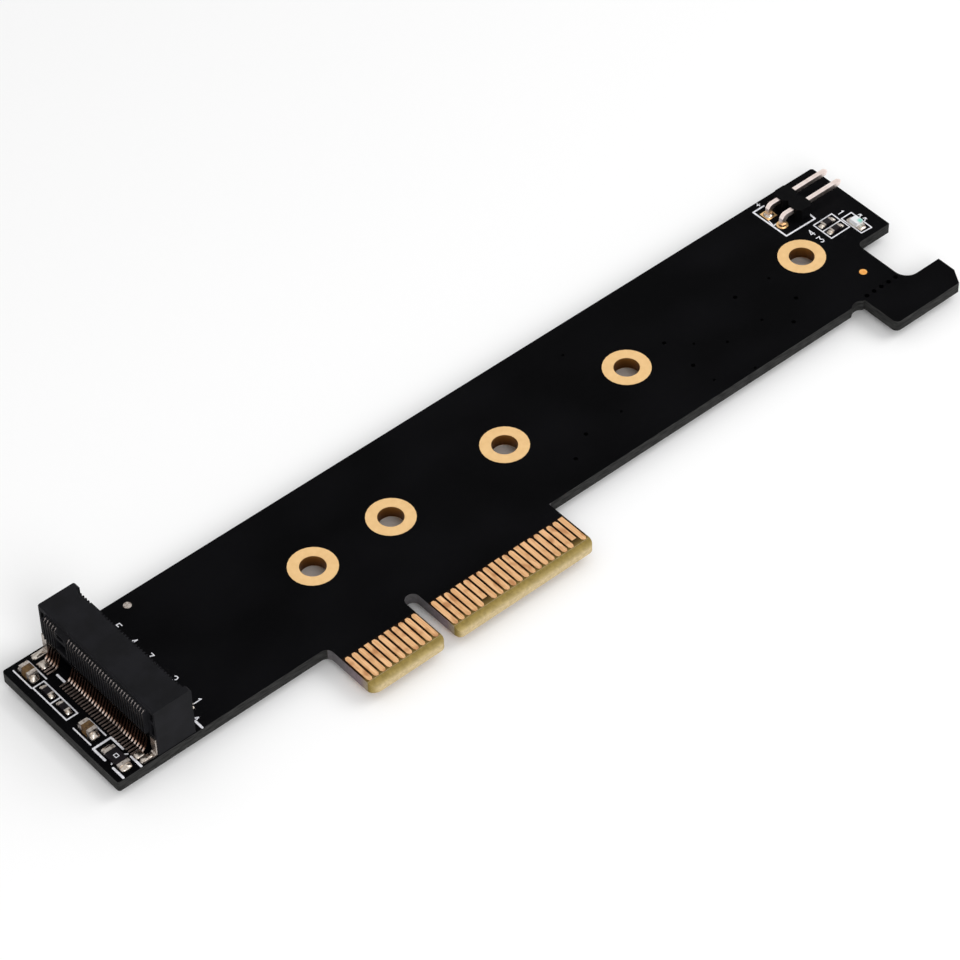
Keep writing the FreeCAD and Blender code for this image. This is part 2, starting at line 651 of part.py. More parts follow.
def make_housing():
    """Moulded housing: block, mouth, comb, key rib, contact grooves, core pockets and pegs."""
    body = new_body("socket_housing")
    top, length = TOP + S["socket_top"], SOCKET_LENGTH
    mouth_cut, rear_cut, slope = S["mouth_chamfer"], S["rear_chamfer"], S["comb_slope"]
    past = S["overshoot"]
    section = new_sketch(body, "HousingSection", "XZ_Plane", -SOCKET_FRONT)
    add_polygon(section, [(REAR, TOP), (CHEEK, TOP), (CHEEK, top - mouth_cut),
                          (CHEEK - mouth_cut, top), (REAR + rear_cut, top), (REAR, top - rear_cut)])
    extrude(body, "Pad", "HousingBlock", section, length, reverse=True)

    comb_front, comb_back = SOCKET_FRONT + S["comb_margin"], SOCKET_BACK - S["comb_margin"]
    comb = new_sketch(body, "CombSection", "XZ_Plane", -comb_front)
    add_polygon(comb, [(REAR, TOP + S["comb_bottom"]), (REAR, TOP + S["comb_top"] + slope),
                       (COMB, TOP + S["comb_top"] - slope), (COMB, TOP + S["comb_bottom"])])
    extrude(body, "Pad", "Comb", comb, comb_back - comb_front, reverse=True)

    hollow = new_sketch(body, "LegHollow", "XZ_Plane", -comb_front)
    add_rectangle(hollow, REAR - past, REAR + S["leg_recess"], TOP - past, TOP + S["comb_bottom"])
    extrude(body, "Pocket", "LegHollowCut", hollow, comb_back - comb_front)

    lips = new_sketch(body, "LipRecess", "XZ_Plane", -(SOCKET_FRONT + S["cheek_wall"]))
    add_rectangle(lips, LIP, CHEEK + past, TOP - past, top + past)
    extrude(body, "Pocket", "LipRecessCut", lips, length - 2 * S["cheek_wall"])

    mouth = new_sketch(body, "Mouth", "XZ_Plane", -(SOCKET_FRONT + S["cheek_wall"]))
    add_rectangle(mouth, SEAT, CHEEK + past, TOP + S["slot_floor"], TOP + SLOT_TOP)
    extrude(body, "Pocket", "MouthCut", mouth, length - 2 * S["cheek_wall"])

    rib_front = KEY - S["key_rib"] / 2
    rib = new_sketch(body, "KeyRib", "XZ_Plane", -rib_front)
    add_rectangle(rib, SEAT, LIP - S["rib_setback"], TOP + S["slot_floor"], TOP + SLOT_TOP)
    extrude(body, "Pad", "KeyRibPad", rib, S["key_rib"], reverse=True)

    for row, near, far in pin_rows():
        for place, (start, count) in (("Near", near), ("Far", far)):
            name = row.capitalize() + place
            groove = new_sketch(body, name, "XZ_Plane", -(start - S["groove_width"] / 2))
            add_polygon(groove, groove_outline(row))
            cut = extrude(body, "Pocket", name + "Groove", groove, S["groove_width"])
            pattern(body, name + "Grooves", cut, count, (count - 1) * S["pin_pitch"], "Y_Axis")

    # core pockets: two in the rear of each end column and two behind the key
    pockets = new_sketch(body, "CorePockets", "YZ_Plane", REAR - past)
    for middle in (SOCKET_FRONT + S["comb_margin"] / 2, SOCKET_BACK - S["comb_margin"] / 2):
        for bottom, height in ((S["end_pocket_low"], S["end_pocket_low_height"]),
                               (S["end_pocket_high"], S["end_pocket_high_height"])):
            add_rectangle(pockets, middle - S["pocket_width"] / 2, middle + S["pocket_width"] / 2,
                          TOP + bottom, TOP + bottom + height)
    high_side = S["key_pocket_high_side"]
    for half, bottom, height in (
            (S["key_pocket_low_half"], S["key_pocket_low"], S["key_pocket_low_height"]),
            (high_side, S["key_pocket_high"], high_side)):
        add_rectangle(pockets, KEY - half, KEY + half, TOP + bottom, TOP + bottom + height)
    extrude(body, "Pocket", "CorePocketsCut", pockets, S["pocket_depth"] + past, reverse=True)

    pegs = new_sketch(body, "Pegs", "XY_Plane", TOP)
    for place, radius in PEGS:
        add_round(pegs, PEG_COLUMN, place, radius, S["small_round_sides"])
    extrude(body, "Pad", "PegsPad", pegs, S["peg_length"], reverse=True)


def ribbon(path, thickness):
    """Closed outline of a strip of even thickness along a path in the XZ plane, mitred at bends."""
    left, right = [], []
    for index, point in enumerate(path):
        ahead = path[min(index + 1, len(path) - 1)]
        behind = path[max(index - 1, 0)]
        first = Vector(point[0] - behind[0], 0, point[1] - behind[1])
        second = Vector(ahead[0] - point[0], 0, ahead[1] - point[1])
        first = (first if index else second).normalize()
        second = (second if index < len(path) - 1 else first).normalize()
        normal = Vector(-(first.z + second.z), 0, first.x + second.x).normalize()
        stretch = thickness / 2 / abs(normal.dot(Vector(-first.z, 0, first.x)))
        left.append(Vector(point[0], 0, point[1]) + normal * stretch)
        right.append(Vector(point[0], 0, point[1]) - normal * stretch)
    return left + right[::-1]


def strip_solid(path, thickness, y, width):
    """Strip metal bent along a path and cut to a width, centred on y."""
    outline = ribbon(path, thickness)
    wire = Part.makePolygon(outline + outline[:1])
    solid = Part.Face(wire).extrude(Vector(0, width, 0))
    solid.translate(Vector(0, y - width / 2, 0))
    return solid


def contact_path(row):
    """Middle line of one socket contact, from its free end to its solder tail."""
    foot = TOP + S["strip_thickness"] / 2
    if row == "upper":
        roof, arm = TOP + SLOT_TOP, TOP + S["comb_top"] - S["arm_drop"]
        leg, swing = COMB + S["leg_inset"], S["leg_swing"]
        path = [
            (LIP - S["lead_in"], roof + S["lead_rise"]), (LIP - S["touch_reach"], roof - S["touch_drop"]),
            (LIP - S["arm_reach"], arm), (REAR - S["arm_end"], arm), (leg, arm - S["arm_bend"]),
            (leg, TOP + S["comb_bottom"]), (leg + swing, TOP + S["leg_knee"]),
            (leg - swing, TOP + S["leg_ankle"]), (leg - S["heel"], foot), (REAR - S["tail_reach"], foot)]
    else:
        floor, leg = TOP + S["slot_floor"], LIP - S["lower_leg_inset"]
        path = [
            (SEAT + S["lower_start"], floor - S["lower_sink"]),
            (SEAT + S["touch_reach"], floor + S["touch_drop"]),
            (LIP - S["lead_in"], floor - S["arm_bend"]), (leg, floor - S["floor_depth"]),
            (leg, TOP + S["lower_ankle"]), (leg + S["lower_heel"], foot),
            (CHEEK + S["front_tail_reach"], foot)]
    return [(x.value, z.value) for x, z in path]


def make_socket_contacts():
    """One bent strip contact for each filled position of both rows."""
    thickness, width = S["strip_thickness"].value, S["strip_width"].value
    for row, near, far in pin_rows():
        path = contact_path(row)
        solids = []
        for start, count in (near, far):
            for step in range(int(count.value)):
                y = start.value + step * S["pin_pitch"].value
                solids.append(strip_solid(path, thickness, y, width))
        plain(row + "_contacts", solids)


def make_clips():
    """Hold-down clip at each end: an upright against the rear wall and a soldered foot."""
    sheet, width, bend = S["clip_thickness"], S["clip_width"], S["clip_thickness"] * S["clip_bend_share"]
    for label, start in (("front_clip", SOCKET_FRONT + S["clip_inset"]),
                         ("back_clip", SOCKET_BACK - S["clip_inset"] - width)):
        body = new_body(label)
        section = new_sketch(body, label + "_section", "XZ_Plane", -start)
        foot = REAR - S["clip_foot"]
        add_polygon(section, [
            (foot, TOP), (REAR, TOP), (REAR, TOP + S["clip_height"]),
            (REAR - sheet, TOP + S["clip_height"]), (REAR - sheet, TOP + bend),
            (REAR - bend, TOP + sheet), (foot, TOP + sheet)])
        extrude(body, "Pad", label + "_bend", section, width, reverse=True)


# ---------------------------------------------------------------- indicator header

BLOCK_BACK = HEADER_HOLE + S["header_standoff"]
BLOCK_FRONT = BLOCK_BACK + S["header_block"]


def make_header_block():
    """Two cells with cut corners, bored square for the posts."""
    body = new_body("header_block")
    cut, half = S["header_chamfer"], S["header_pitch"] / 2
    low, middle, high = HEADER_LINE - 2 * half, HEADER_LINE, HEADER_LINE + 2 * half
    outline = new_sketch(body, "HeaderOutline", "XY_Plane", TOP)
    points = [(BLOCK_BACK, low + cut), (BLOCK_BACK + cut, low), (BLOCK_FRONT - cut, low),
              (BLOCK_FRONT, low + cut), (BLOCK_FRONT, middle - cut), (BLOCK_FRONT - cut, middle),
              (BLOCK_FRONT, middle + cut), (BLOCK_FRONT, high - cut), (BLOCK_FRONT - cut, high),
              (BLOCK_BACK + cut, high), (BLOCK_BACK, high - cut), (BLOCK_BACK, middle + cut),
              (BLOCK_BACK + cut, middle), (BLOCK_BACK, middle - cut)]
    add_polygon(outline, points)
    extrude(body, "Pad", "HeaderPad", outline, S["header_height"])
    bores = new_sketch(body, "PostBores", "YZ_Plane", BLOCK_BACK - S["overshoot"])
    thick, z = S["post_width"] / 2, TOP + S["post_height"]
    for row in HEADER_ROWS:
        add_rectangle(bores, row - thick, row + thick, z - thick, z + thick)
    extrude(body, "Pocket", "PostBoresCut", bores, S["header_block"] + 2 * S["overshoot"], reverse=True)


def make_header_posts():
    """Square posts, bent once, tapered at both ends."""
    half, taper = S["post_width"] / 2, S["post_taper"]
    hole, tip = HEADER_HOLE, BLOCK_FRONT + S["post_reach"]
    z, tail = TOP + S["post_height"], -S["post_tail"]
    thin, far = half * S["post_tip_share"], tip + S["overshoot"]
    for label, row in zip(("plus_post", "minus_post"), HEADER_ROWS):
        body = new_body(label)
        side = new_sketch(body, label + "_side", "XZ_Plane", -(row - half))
        add_polygon(side, [
            (hole - thin, tail), (hole + thin, tail), (hole + half, tail + taper),
            (hole + half, z - 2 * half), (hole + 2 * half, z - half), (tip - taper, z - half),
            (tip, z - thin), (tip, z + thin), (tip - taper, z + half), (hole + half, z + half),
            (hole, z + half * S["bend_top_share"]), (hole - half, z - half * S["bend_side_share"]),
            (hole - half, tail + taper)])
        extrude(body, "Pad", label + "_bar", side, S["post_width"], reverse=True)
        ends = new_sketch(body, label + "_ends", "XY_Plane", z - 2 * half)
        for sign in (-1, 1):
            add_polygon(ends, [(far, row + sign * half), (tip - taper, row + sign * half),
                               (tip, row + sign * thin), (far, row + sign * thin)])
        extrude(body, "Pocket", label + "_taper", ends, 4 * half, reverse=True)


def prism(x, y, z, low_radius, high_radius, height):
    """Upright many-sided drum or cone frustum, for parts under a millimetre or so across."""
    sides = int(S["small_round_sides"].value)
    rings = []
    for radius, level in ((low_radius, z), (high_radius, z + height)):
        corners = [Vector(x + radius * math.cos(2 * math.pi * step / sides),
                          y + radius * math.sin(2 * math.pi * step / sides), level)
                   for step in range(sides)]
        rings.append(Part.makePolygon(corners + corners[:1]))
    return Part.makeLoft(rings, True, True)


def make_header_pads():
    """Plated pads of the header holes, the plus pad square, and their solder cones."""
    x, top = HEADER_HOLE.value, TOP.value
    copper, drill = S["header_plating"].value, S["header_drill"].value
    radius, half = S["header_pad"].value, S["post_width"].value / 2
    pads, joints = [], []
    for row, square in zip(HEADER_ROWS, (True, False)):
        y = row.value
        barrel = prism(x, y, 0, drill, drill, top)
        for z in (-copper, top):
            if square:
                face = Part.makeBox(2 * radius, 2 * radius, copper, Vector(x - radius, y - radius, z))
            else:
                face = prism(x, y, z, radius, radius, copper)
            barrel = barrel.fuse(face)
        bore = prism(x, y, -2 * copper, drill - copper, drill - copper, top + 4 * copper)
        pads.append(barrel.cut(bore).removeSplitter())
        post = Part.makeBox(2 * half, 2 * half, 4 * top, Vector(x - half, y - half, -2 * top))
        height, base = S["solder_height"].value, S["solder_radius"].value
        under = prism(x, y, -copper - height, half * S["solder_neck_share"].value, base, height)
        joints.append(under.cut(post))
    plain("header_pads", pads)
    plain("header_solder", joints)


# ---------------------------------------------------------------- chip parts

def chip_blocks(name, x, y, length, width, height, end, along_y=True, bottom=TOP):
    """Body block and two end blocks of one chip part."""
    half, side = length / 2, width / 2
    spans = {"body": (-half + end, half - end), "end_a": (-half, -half + end), "end_b": (half - end, half)}
    blocks = {}
    for key, (first, last) in spans.items():
        if along_y:
            low, high = (x - side, y + first, bottom), (x + side, y + last, bottom + height)
        else:
            low, high = (x + first, y - side, bottom), (x + last, y + side, bottom + height)
        blocks[key] = block("%s_%s" % (name, key), low, high)
    return blocks["body"], [blocks["end_a"], blocks["end_b"]]


def make_chip_family(body_label, end_label, chips):
    """One node of bodies and one of end caps for like chips."""
    bodies, ends = [], []
    for chip in chips:
        body, caps = chip_blocks(*chip)
        bodies.append(body)
        ends += caps
    group(body_label, bodies)
    group(end_label, ends)


def make_chips():
    column, lamp_column = LEFT + S["chip_inset"], RIGHT - S["lamp_pair_inset"]
    large = (S["large_cap_length"], S["large_cap_width"], S["large_cap_height"], S["large_cap_end"])
    make_chip_family("large_capacitors", "large_capacitor_ends", [
        ("large_cap_a", column, BACK - S["large_cap_setback"]) + large,
        ("large_cap_b", column, LINE - S["large_cap_front"]) + large])
    small = (S["small_chip_length"], S["small_chip_width"], S["small_chip_height"], S["small_chip_end"])
    make_chip_family("resistors", "resistor_ends", [
        ("socket_chip_a", column, LINE + S["socket_pair_back"]) + small,
        ("socket_chip_b", column, LINE + S["socket_pair_front"]) + small,
        ("lamp_chip_a", lamp_column, LINE + S["lamp_pair_back"]) + small + (False,),
        ("lamp_chip_b", lamp_column, LINE + S["lamp_pair_front"]) + small + (False,)])
    make_chip_family("zero_ohm_link", "zero_ohm_link_ends", [
        ("link", column, LINE - S["link_place"], S["link_length"], S["link_width"],
         S["link_height"], S["link_end"])])
    tiny = (S["tiny_cap_length"], S["tiny_cap_width"], S["tiny_cap_width"], S["tiny_cap_end"])
    make_chip_family("tiny_capacitors", "tiny_capacitor_ends", [
        ("tiny_cap_%d" % step, CHEEK + S["tiny_cap_setoff"],
         LINE - S["tiny_cap_first"] + step * S["tiny_cap_pitch"])
        + tiny for step in range(int(S["tiny_cap_count"].value))])


def make_lamp():
    """Status lamp: carrier with end pads and a tapered clear lens on it."""
    x, y = RIGHT - S["lamp_inset"], LINE - S["lamp_place"]
    carrier, ends = chip_blocks("lamp", x, y, S["lamp_length"], S["lamp_width"], S["lamp_base"],
                                S["lamp_end"])
    keep(carrier, "lamp_carrier")
    group("lamp_ends", ends)
    body = new_body("lamp_lens")
    start = y - S["lamp_length"] / 2 + S["lamp_end"]
    length = S["lamp_length"] - 2 * S["lamp_end"]
    side, low, high = S["lamp_width"] / 2, TOP + S["lamp_base"], TOP + S["lamp_height"]
    section = new_sketch(body, "LensSection", "XZ_Plane", -start)
    upper = side * S["lens_top_share"]
    add_polygon(section, [(x - side, low), (x + side, low), (x + upper, high), (x - upper, high)])
    extrude(body, "Pad", "LensPad", section, length, reverse=True)


# ---------------------------------------------------------------- build, check and write

def check_and_write():
    doc.recompute()
    broken = [obj.Name for obj in doc.Objects if "Invalid" in obj.State or "Error" in obj.State]
    if broken:
        raise RuntimeError("failed objects: %s" % ", ".join(broken))
    os.makedirs("parts", exist_ok=True)
    for obj in PARTS:
        if obj.Shape.isNull() or not obj.Shape.isValid() or not obj.Shape.Solids:
            raise RuntimeError("bad shape: %s" % obj.Label)
    for obj in PARTS:
        obj.Shape.exportStep("parts/%s.step" % obj.Label)
        print("%-28s %3d solids %10.3f mm3" % (obj.Label, len(obj.Shape.Solids), obj.Shape.Volume))


make_board()
make_hole_liners()
make_edge_contacts()
make_dots()
make_housing()
make_socket_contacts()
make_clips()
make_header_block()
make_header_posts()
make_header_pads()
make_chips()
make_lamp()
check_and_write()
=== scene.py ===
"""Looks of the adapter card: finishes for its solids, print, solder and small vias, and the studio.

Lengths are millimetres in the card's frame (+X from the module socket to the hook, +Y from the
edge contacts to the straight back edge, +Z out of the component side) and turn to metres when a
mesh is made.
"""
import json
import logging
import math
from dataclasses import dataclass
from enum import Enum
from typing import Any, Dict, Iterable, List, Mapping, Optional, Sequence, Tuple

import bpy
import numpy as np
from mathutils import Matrix, Vector


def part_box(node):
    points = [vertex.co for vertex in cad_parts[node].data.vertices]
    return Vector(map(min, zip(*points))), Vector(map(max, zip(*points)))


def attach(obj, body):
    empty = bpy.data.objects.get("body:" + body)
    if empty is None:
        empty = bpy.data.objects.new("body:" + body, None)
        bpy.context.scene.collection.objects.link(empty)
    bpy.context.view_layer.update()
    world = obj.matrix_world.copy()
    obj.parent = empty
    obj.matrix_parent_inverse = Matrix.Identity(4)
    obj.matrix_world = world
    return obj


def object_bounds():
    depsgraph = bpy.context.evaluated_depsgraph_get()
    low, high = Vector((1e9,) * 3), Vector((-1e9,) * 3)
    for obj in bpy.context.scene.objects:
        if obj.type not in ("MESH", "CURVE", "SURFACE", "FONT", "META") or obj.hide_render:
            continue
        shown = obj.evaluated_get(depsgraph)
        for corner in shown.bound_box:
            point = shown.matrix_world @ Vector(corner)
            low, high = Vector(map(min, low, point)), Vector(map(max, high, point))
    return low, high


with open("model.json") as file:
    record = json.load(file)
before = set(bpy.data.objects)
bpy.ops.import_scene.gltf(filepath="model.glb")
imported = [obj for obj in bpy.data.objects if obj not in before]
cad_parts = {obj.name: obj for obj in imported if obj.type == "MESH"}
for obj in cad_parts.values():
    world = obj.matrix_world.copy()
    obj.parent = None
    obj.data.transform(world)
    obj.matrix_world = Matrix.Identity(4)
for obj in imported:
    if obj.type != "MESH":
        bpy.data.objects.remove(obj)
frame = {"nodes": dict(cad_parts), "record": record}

LOG = logging.getLogger("adapter_card")
MM = 0.001
Point = Tuple[float, float]
Stroke = Sequence[Point]


def corners() -> List[List[float]]:
    """Lowest and highest corner of what is shown, as plain lists."""
    return [[float(value) for value in corner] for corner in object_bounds()]


FRAME_BOX = corners()


# ---------------------------------------------------------------- sizes

@dataclass(frozen=True)
class Card:
    """Driving places of the card, in millimetres."""

    top: float = 1.6
    tongue_left: float = -12.1
    tongue_right: float = 22.1
    tongue_root: float = 5.5
    mask_edge: float = 2.4
    bevel_start: float = -2.3
    pin_pitch: float = 0.5
    first_pin: float = 6.65
    near_pins: int = 29
    key_pins: int = 4
    far_pins: int = 5
    chips: float = -40.5
    break_line: float = 5.27
    break_middle: float = 78.26
    break_half: float = 2.89
    break_radius: float = 0.35
    # centre of the painted teal highlight on the lamp's epoxy
    lamp: Tuple[float, float, float] = (84.25, 15.2, 2.4)


CARD = Card()


# ---------------------------------------------------------------- node helpers

def linear(code: str) -> Tuple[float, float, float, float]:
    """Turn an sRGB hex colour to linear light.

    Args:
        code: Colour as #rrggbb.

    Returns:
        Red, green and blue in linear light, and an alpha of 1.
    """
    parts = [int(code[start:start + 2], 16) / 255 for start in (1, 3, 5)]
    lit = [part / 12.92 if part <= 0.04045 else ((part + 0.055) / 1.055) ** 2.4 for part in parts]
    return lit[0], lit[1], lit[2], 1.0


def add_node(tree: Any, kind: str, inputs: Mapping[Any, Any], **settings: Any) -> Any:
    """Add a node, set it and link it.

    Args:
        tree: Node tree that receives it.
        kind: Blender's name of the node type.
        inputs: Input name or number to a value, or to the output socket that feeds it.
        settings: Properties of the node itself.

    Returns:
        The new node.
    """
    node = tree.nodes.new(kind)
    for name, value in settings.items():
        setattr(node, name, value)
    for key, value in inputs.items():
        if isinstance(value, bpy.types.NodeSocket):
            tree.links.new(value, node.inputs[key])
        else:
            node.inputs[key].default_value = value
    return node


@dataclass(frozen=True)
class Grain:
    """Noise whose lumps have a real size in millimetres along X, Y and Z."""

    lump: Tuple[float, float, float]
    detail: float = 2.0

    def lay(self, tree: Any, place: Any) -> Any:
        """Lay it over a piece.

        Args:
            tree: Node tree.
            place: Socket with the place in millimetres.

        Returns:
            Socket with values around one half.
        """
        shrink = tuple(1 / size for size in self.lump)
        fitted = add_node(tree, "ShaderNodeMapping", {"Vector": place, "Scale": shrink})
        noise = add_node(tree, "ShaderNodeTexNoise", {
            "Vector": fitted.outputs["Vector"], "Scale": 1.0, "Detail": self.detail})
        return noise.outputs["Fac"]


@dataclass(frozen=True)
class Gradient:
    """Colours at rising values; between two values it blends their colours evenly."""

    stops: Tuple[Tuple[float, str], ...]

    def lay(self, tree: Any, value: Any) -> Any:
        """Colour by a value, which can be a noise or a place along one axis.

        Args:
            tree: Node tree.
            value: Socket with the value.

        Returns:
            Socket with the colour.
        """
        low, high = self.stops[0][0], self.stops[-1][0]
        share = add_node(tree, "ShaderNodeMapRange", {
            "Value": value, "From Min": low, "From Max": high})
        ramp = add_node(tree, "ShaderNodeValToRGB", {"Fac": share.outputs["Result"]})
        marks = ramp.color_ramp.elements
        for mark, (at, code) in zip(marks, (self.stops[0], self.stops[-1])):
            mark.position, mark.color = (at - low) / (high - low), linear(code)
        for at, code in self.stops[1:-1]:
            marks.new((at - low) / (high - low)).color = linear(code)
        return ramp.outputs["Color"]


# ---------------------------------------------------------------- finishes

@dataclass(frozen=True)
class Finish:
    """One surface finish: its name and the uniform values of its shader."""

    name: str
    colour: str
    roughness: float
    metallic: float = 0.0
    specular: float = 0.5
    transmission: float = 0.0

    def start(self) -> Tuple[Any, Any, Any, Any]:
        """Make the material with its uniform values on the shader's own sockets.

        Returns:
            Material, node tree, shader, and the place on the piece in millimetres.
        """
        material = bpy.data.materials.new(self.name)
        material.use_nodes = True
        tree = material.node_tree
        shader = next(node for node in tree.nodes if node.type == "BSDF_PRINCIPLED")
        values = {"Base Color": linear(self.colour), "Roughness": self.roughness,
                  "Metallic": self.metallic, "Transmission Weight": self.transmission}
        if not self.metallic:
            values["Specular IOR Level"] = self.specular
        for socket, value in values.items():
            shader.inputs[socket].default_value = value
        place = add_node(tree, "ShaderNodeTexCoord", {}).outputs["Object"]
        scaled = add_node(tree, "ShaderNodeMapping", {"Vector": place, "Scale": (1 / MM,) * 3})
        return material, tree, shader, scaled.outputs["Vector"]

    def make(self) -> Any:
        """Make the plain material."""
        return self.start()[0]


@dataclass(frozen=True, kw_only=True)
class Grained(Finish):
    """A finish whose colour runs from low to colour with a grain, which also roughens and lifts it.

    The roughness runs over its own value plus spread. The relief follows the grain, or raised
    where that is given, and is depth millimetres deep, of which the share strength shows.
    """

    low: str
    grain: Grain
    span: Point = (0.35, 0.65)
    spread: Optional[Point] = None
    raised: Optional[Grain] = None
    depth: float = 0.01
    strength: float = 0.3

    def paint(self, tree: Any, place: Any, tone: Any) -> Tuple[Any, Any]:
        """Choose the colour, and what the roughness follows.

        Args:
            tree: Node tree.
            place: Socket with the place in millimetres; not used here.
            tone: Socket with the grain.

        Returns:
            Socket with the colour, and socket that the roughness follows.
        """
        stops = ((self.span[0], self.low), (self.span[1], self.colour))
        return Gradient(stops).lay(tree, tone), tone

    def make(self) -> Any:
        """Make the material with its colour, roughness and relief."""
        material, tree, shader, place = self.start()
        tone = self.grain.lay(tree, place)
        colour, wear = self.paint(tree, place, tone)
        tree.links.new(colour, shader.inputs["Base Color"])
        if self.spread:
            rough = add_node(tree, "ShaderNodeMapRange", {
                "Value": wear, "To Min": self.roughness + self.spread[0],
                "To Max": self.roughness + self.spread[1]})
            tree.links.new(rough.outputs["Result"], shader.inputs["Roughness"])
        if self.depth:
            height = self.raised.lay(tree, place) if self.raised else tone
            bump = add_node(tree, "ShaderNodeBump", {
                "Height": height, "Distance": self.depth * MM, "Strength": self.strength})
            tree.links.new(bump.outputs["Normal"], shader.inputs["Normal"])
        return material


class MaskedLaminate(Grained):
    """Black solder mask over woven glass-fibre laminate.

    Screen-printed mask is satin and nearly black. The routed edge shows grey glass layers. The
    tongue has no mask: between the contacts its resin is dark, darkened further with painted shade,
    and past them it is the straw-coloured laminate, paler where the bevel cuts into the glass. The
    narrow breakaway holes are painted black as painted shade, since so little light comes back out
    of them.
    """

    LAYERS = (Grain((1.6, 1.6, 0.16), 3.0), Gradient(((0.35, "#1c1c1c"), (0.65, "#3a3a39"))))
    WEAVE = (Grain((0.5, 0.5, 0.4), 2.0), Gradient(((0.35, "#e6e6e6"), (0.65, "#ffffff"))))
    # top of the tongue: dark resin between the contacts, partly painted shade that deepens towards
    # the root, then pale straw laminate past the contacts
    UPPER = Gradient((
        (-3.5, "#cbb78d"), (-3.15, "#ae9a66"), (-2.75, "#96824a"), (-2.35, "#8b7740"),
        (-2.1, "#6a5730"), (-1.3, "#33240f"), (0.5, "#22160c"), (5.5, "#120b07")))
    WALL = Gradient((
        (-3.5, "#cbb78d"), (-2.6, "#a89a7c"), (-1.0, "#85767a"), (2.4, "#6b6769"),
        (5.5, "#545354")))
    # painted shade: the walls of the narrow breakaway holes are painted black
    BREAK_HOLE_PAINTED_SHADE = "#030304"
    BEYOND = 200.0
    SKIN = 0.005
    MARGIN = 0.3
    BEVEL_MARGIN = 0.05

    def paint(self, tree: Any, place: Any, tone: Any) -> Tuple[Any, Any]:
        """Lay the mask, the bare tongue and the cut edge over one another.

        Each band is 1 between its two ends along one axis, and a product of bands is a region.

        Args:
            tree: Node tree.
            place: Socket with the place in millimetres.
            tone: Socket with the mask's own grain.

        Returns:
            Socket with the colour, and socket that is 1 on the bare tongue.
        """
        x, y, z = add_node(tree, "ShaderNodeSeparateXYZ", {"Vector": place}).outputs
        bands = {
            "tongue_width": (x, CARD.tongue_left - self.MARGIN, CARD.tongue_right + self.MARGIN),
            "tongue_length": (y, -self.BEYOND, CARD.tongue_root),
            "unmasked": (y, -self.BEYOND, CARD.mask_edge),
            "between_faces": (z, self.SKIN, CARD.top - self.SKIN),
            "above_bevel": (y, CARD.bevel_start - self.BEVEL_MARGIN, self.BEYOND),
            "break_row": (x, CARD.break_middle - CARD.break_half,
                          CARD.break_middle + CARD.break_half),
            "break_width": (y, CARD.break_line - CARD.break_radius,
                            CARD.break_line + CARD.break_radius)}
        regions = {
            name: add_node(tree, "ShaderNodeMath", {
                0: axis, 1: (low + high) / 2, 2: (high - low) / 2}, operation="COMPARE").outputs[0]
            for name, (axis, low, high) in bands.items()}
        for name, first, second in (("tongue", "tongue_width", "tongue_length"),
                                    ("bare", "tongue", "unmasked"),
                                    ("cut", "between_faces", "above_bevel"),
                                    ("break_hole_shade", "break_row", "break_width")):
            regions[name] = add_node(tree, "ShaderNodeMath", {
                0: regions[first], 1: regions[second]}, operation="MULTIPLY").outputs[0]

        mask, _ = super().paint(tree, place, tone)
        layers, weave = (tones.lay(tree, grain.lay(tree, place))
                         for grain, tones in (self.LAYERS, self.WEAVE))
        upper, wall = (add_node(tree, "ShaderNodeMix", {
            0: 1.0, 6: gradient.lay(tree, y), 7: weave}, data_type="RGBA",
            blend_type="MULTIPLY").outputs[2] for gradient in (self.UPPER, self.WALL))
        colours = {"mask": mask, "upper": upper, "wall": wall, "edge": layers,
                   "black": linear(self.BREAK_HOLE_PAINTED_SHADE)}
        for region, under, over in (("bare", "mask", "upper"), ("tongue", "edge", "wall"),
                                    ("break_hole_shade", "edge", "black"), ("cut", "mask", "edge")):
            colours[under] = add_node(tree, "ShaderNodeMix", {
                0: regions[region], 6: colours[under], 7: colours[over]},
                data_type="RGBA").outputs[2]
        return colours["mask"], regions["bare"]


class ImmersionGold(Grained):
    """Immersion gold over nickel: an even, matt skin; down inside the holes it is painted brown and
    dark as painted shade.
    """

    # painted shade: the hole walls between the card's two faces are painted brown and dark
    BARREL_PAINTED_SHADE = Gradient(((-0.05, "#f8cd95"), (0.0, "#4a2f18"), (1.0, "#8a5d2c"), (1.55, "#b98444"),
                       (1.62, "#ffd9a0")))

    def paint(self, tree: Any, place: Any, tone: Any) -> Tuple[Any, Any]:
        """Multiply the grain's faint tones by the colour at each height, which paints shade down
        inside the holes.

        Args:
            tree: Node tree.
            place: Socket with the place in millimetres.
            tone: Socket with the grain.

        Returns:
            Socket with the colour, and socket that the roughness follows.
        """
        speckle, wear = super().paint(tree, place, tone)
        height = add_node(tree, "ShaderNodeSeparateXYZ", {"Vector": place}).outputs["Z"]
        mixed = add_node(tree, "ShaderNodeMix", {
            0: 1.0, 6: self.BARREL_PAINTED_SHADE.lay(tree, height), 7: speckle}, data_type="RGBA",
            blend_type="MULTIPLY")
        return mixed.outputs[2], wear


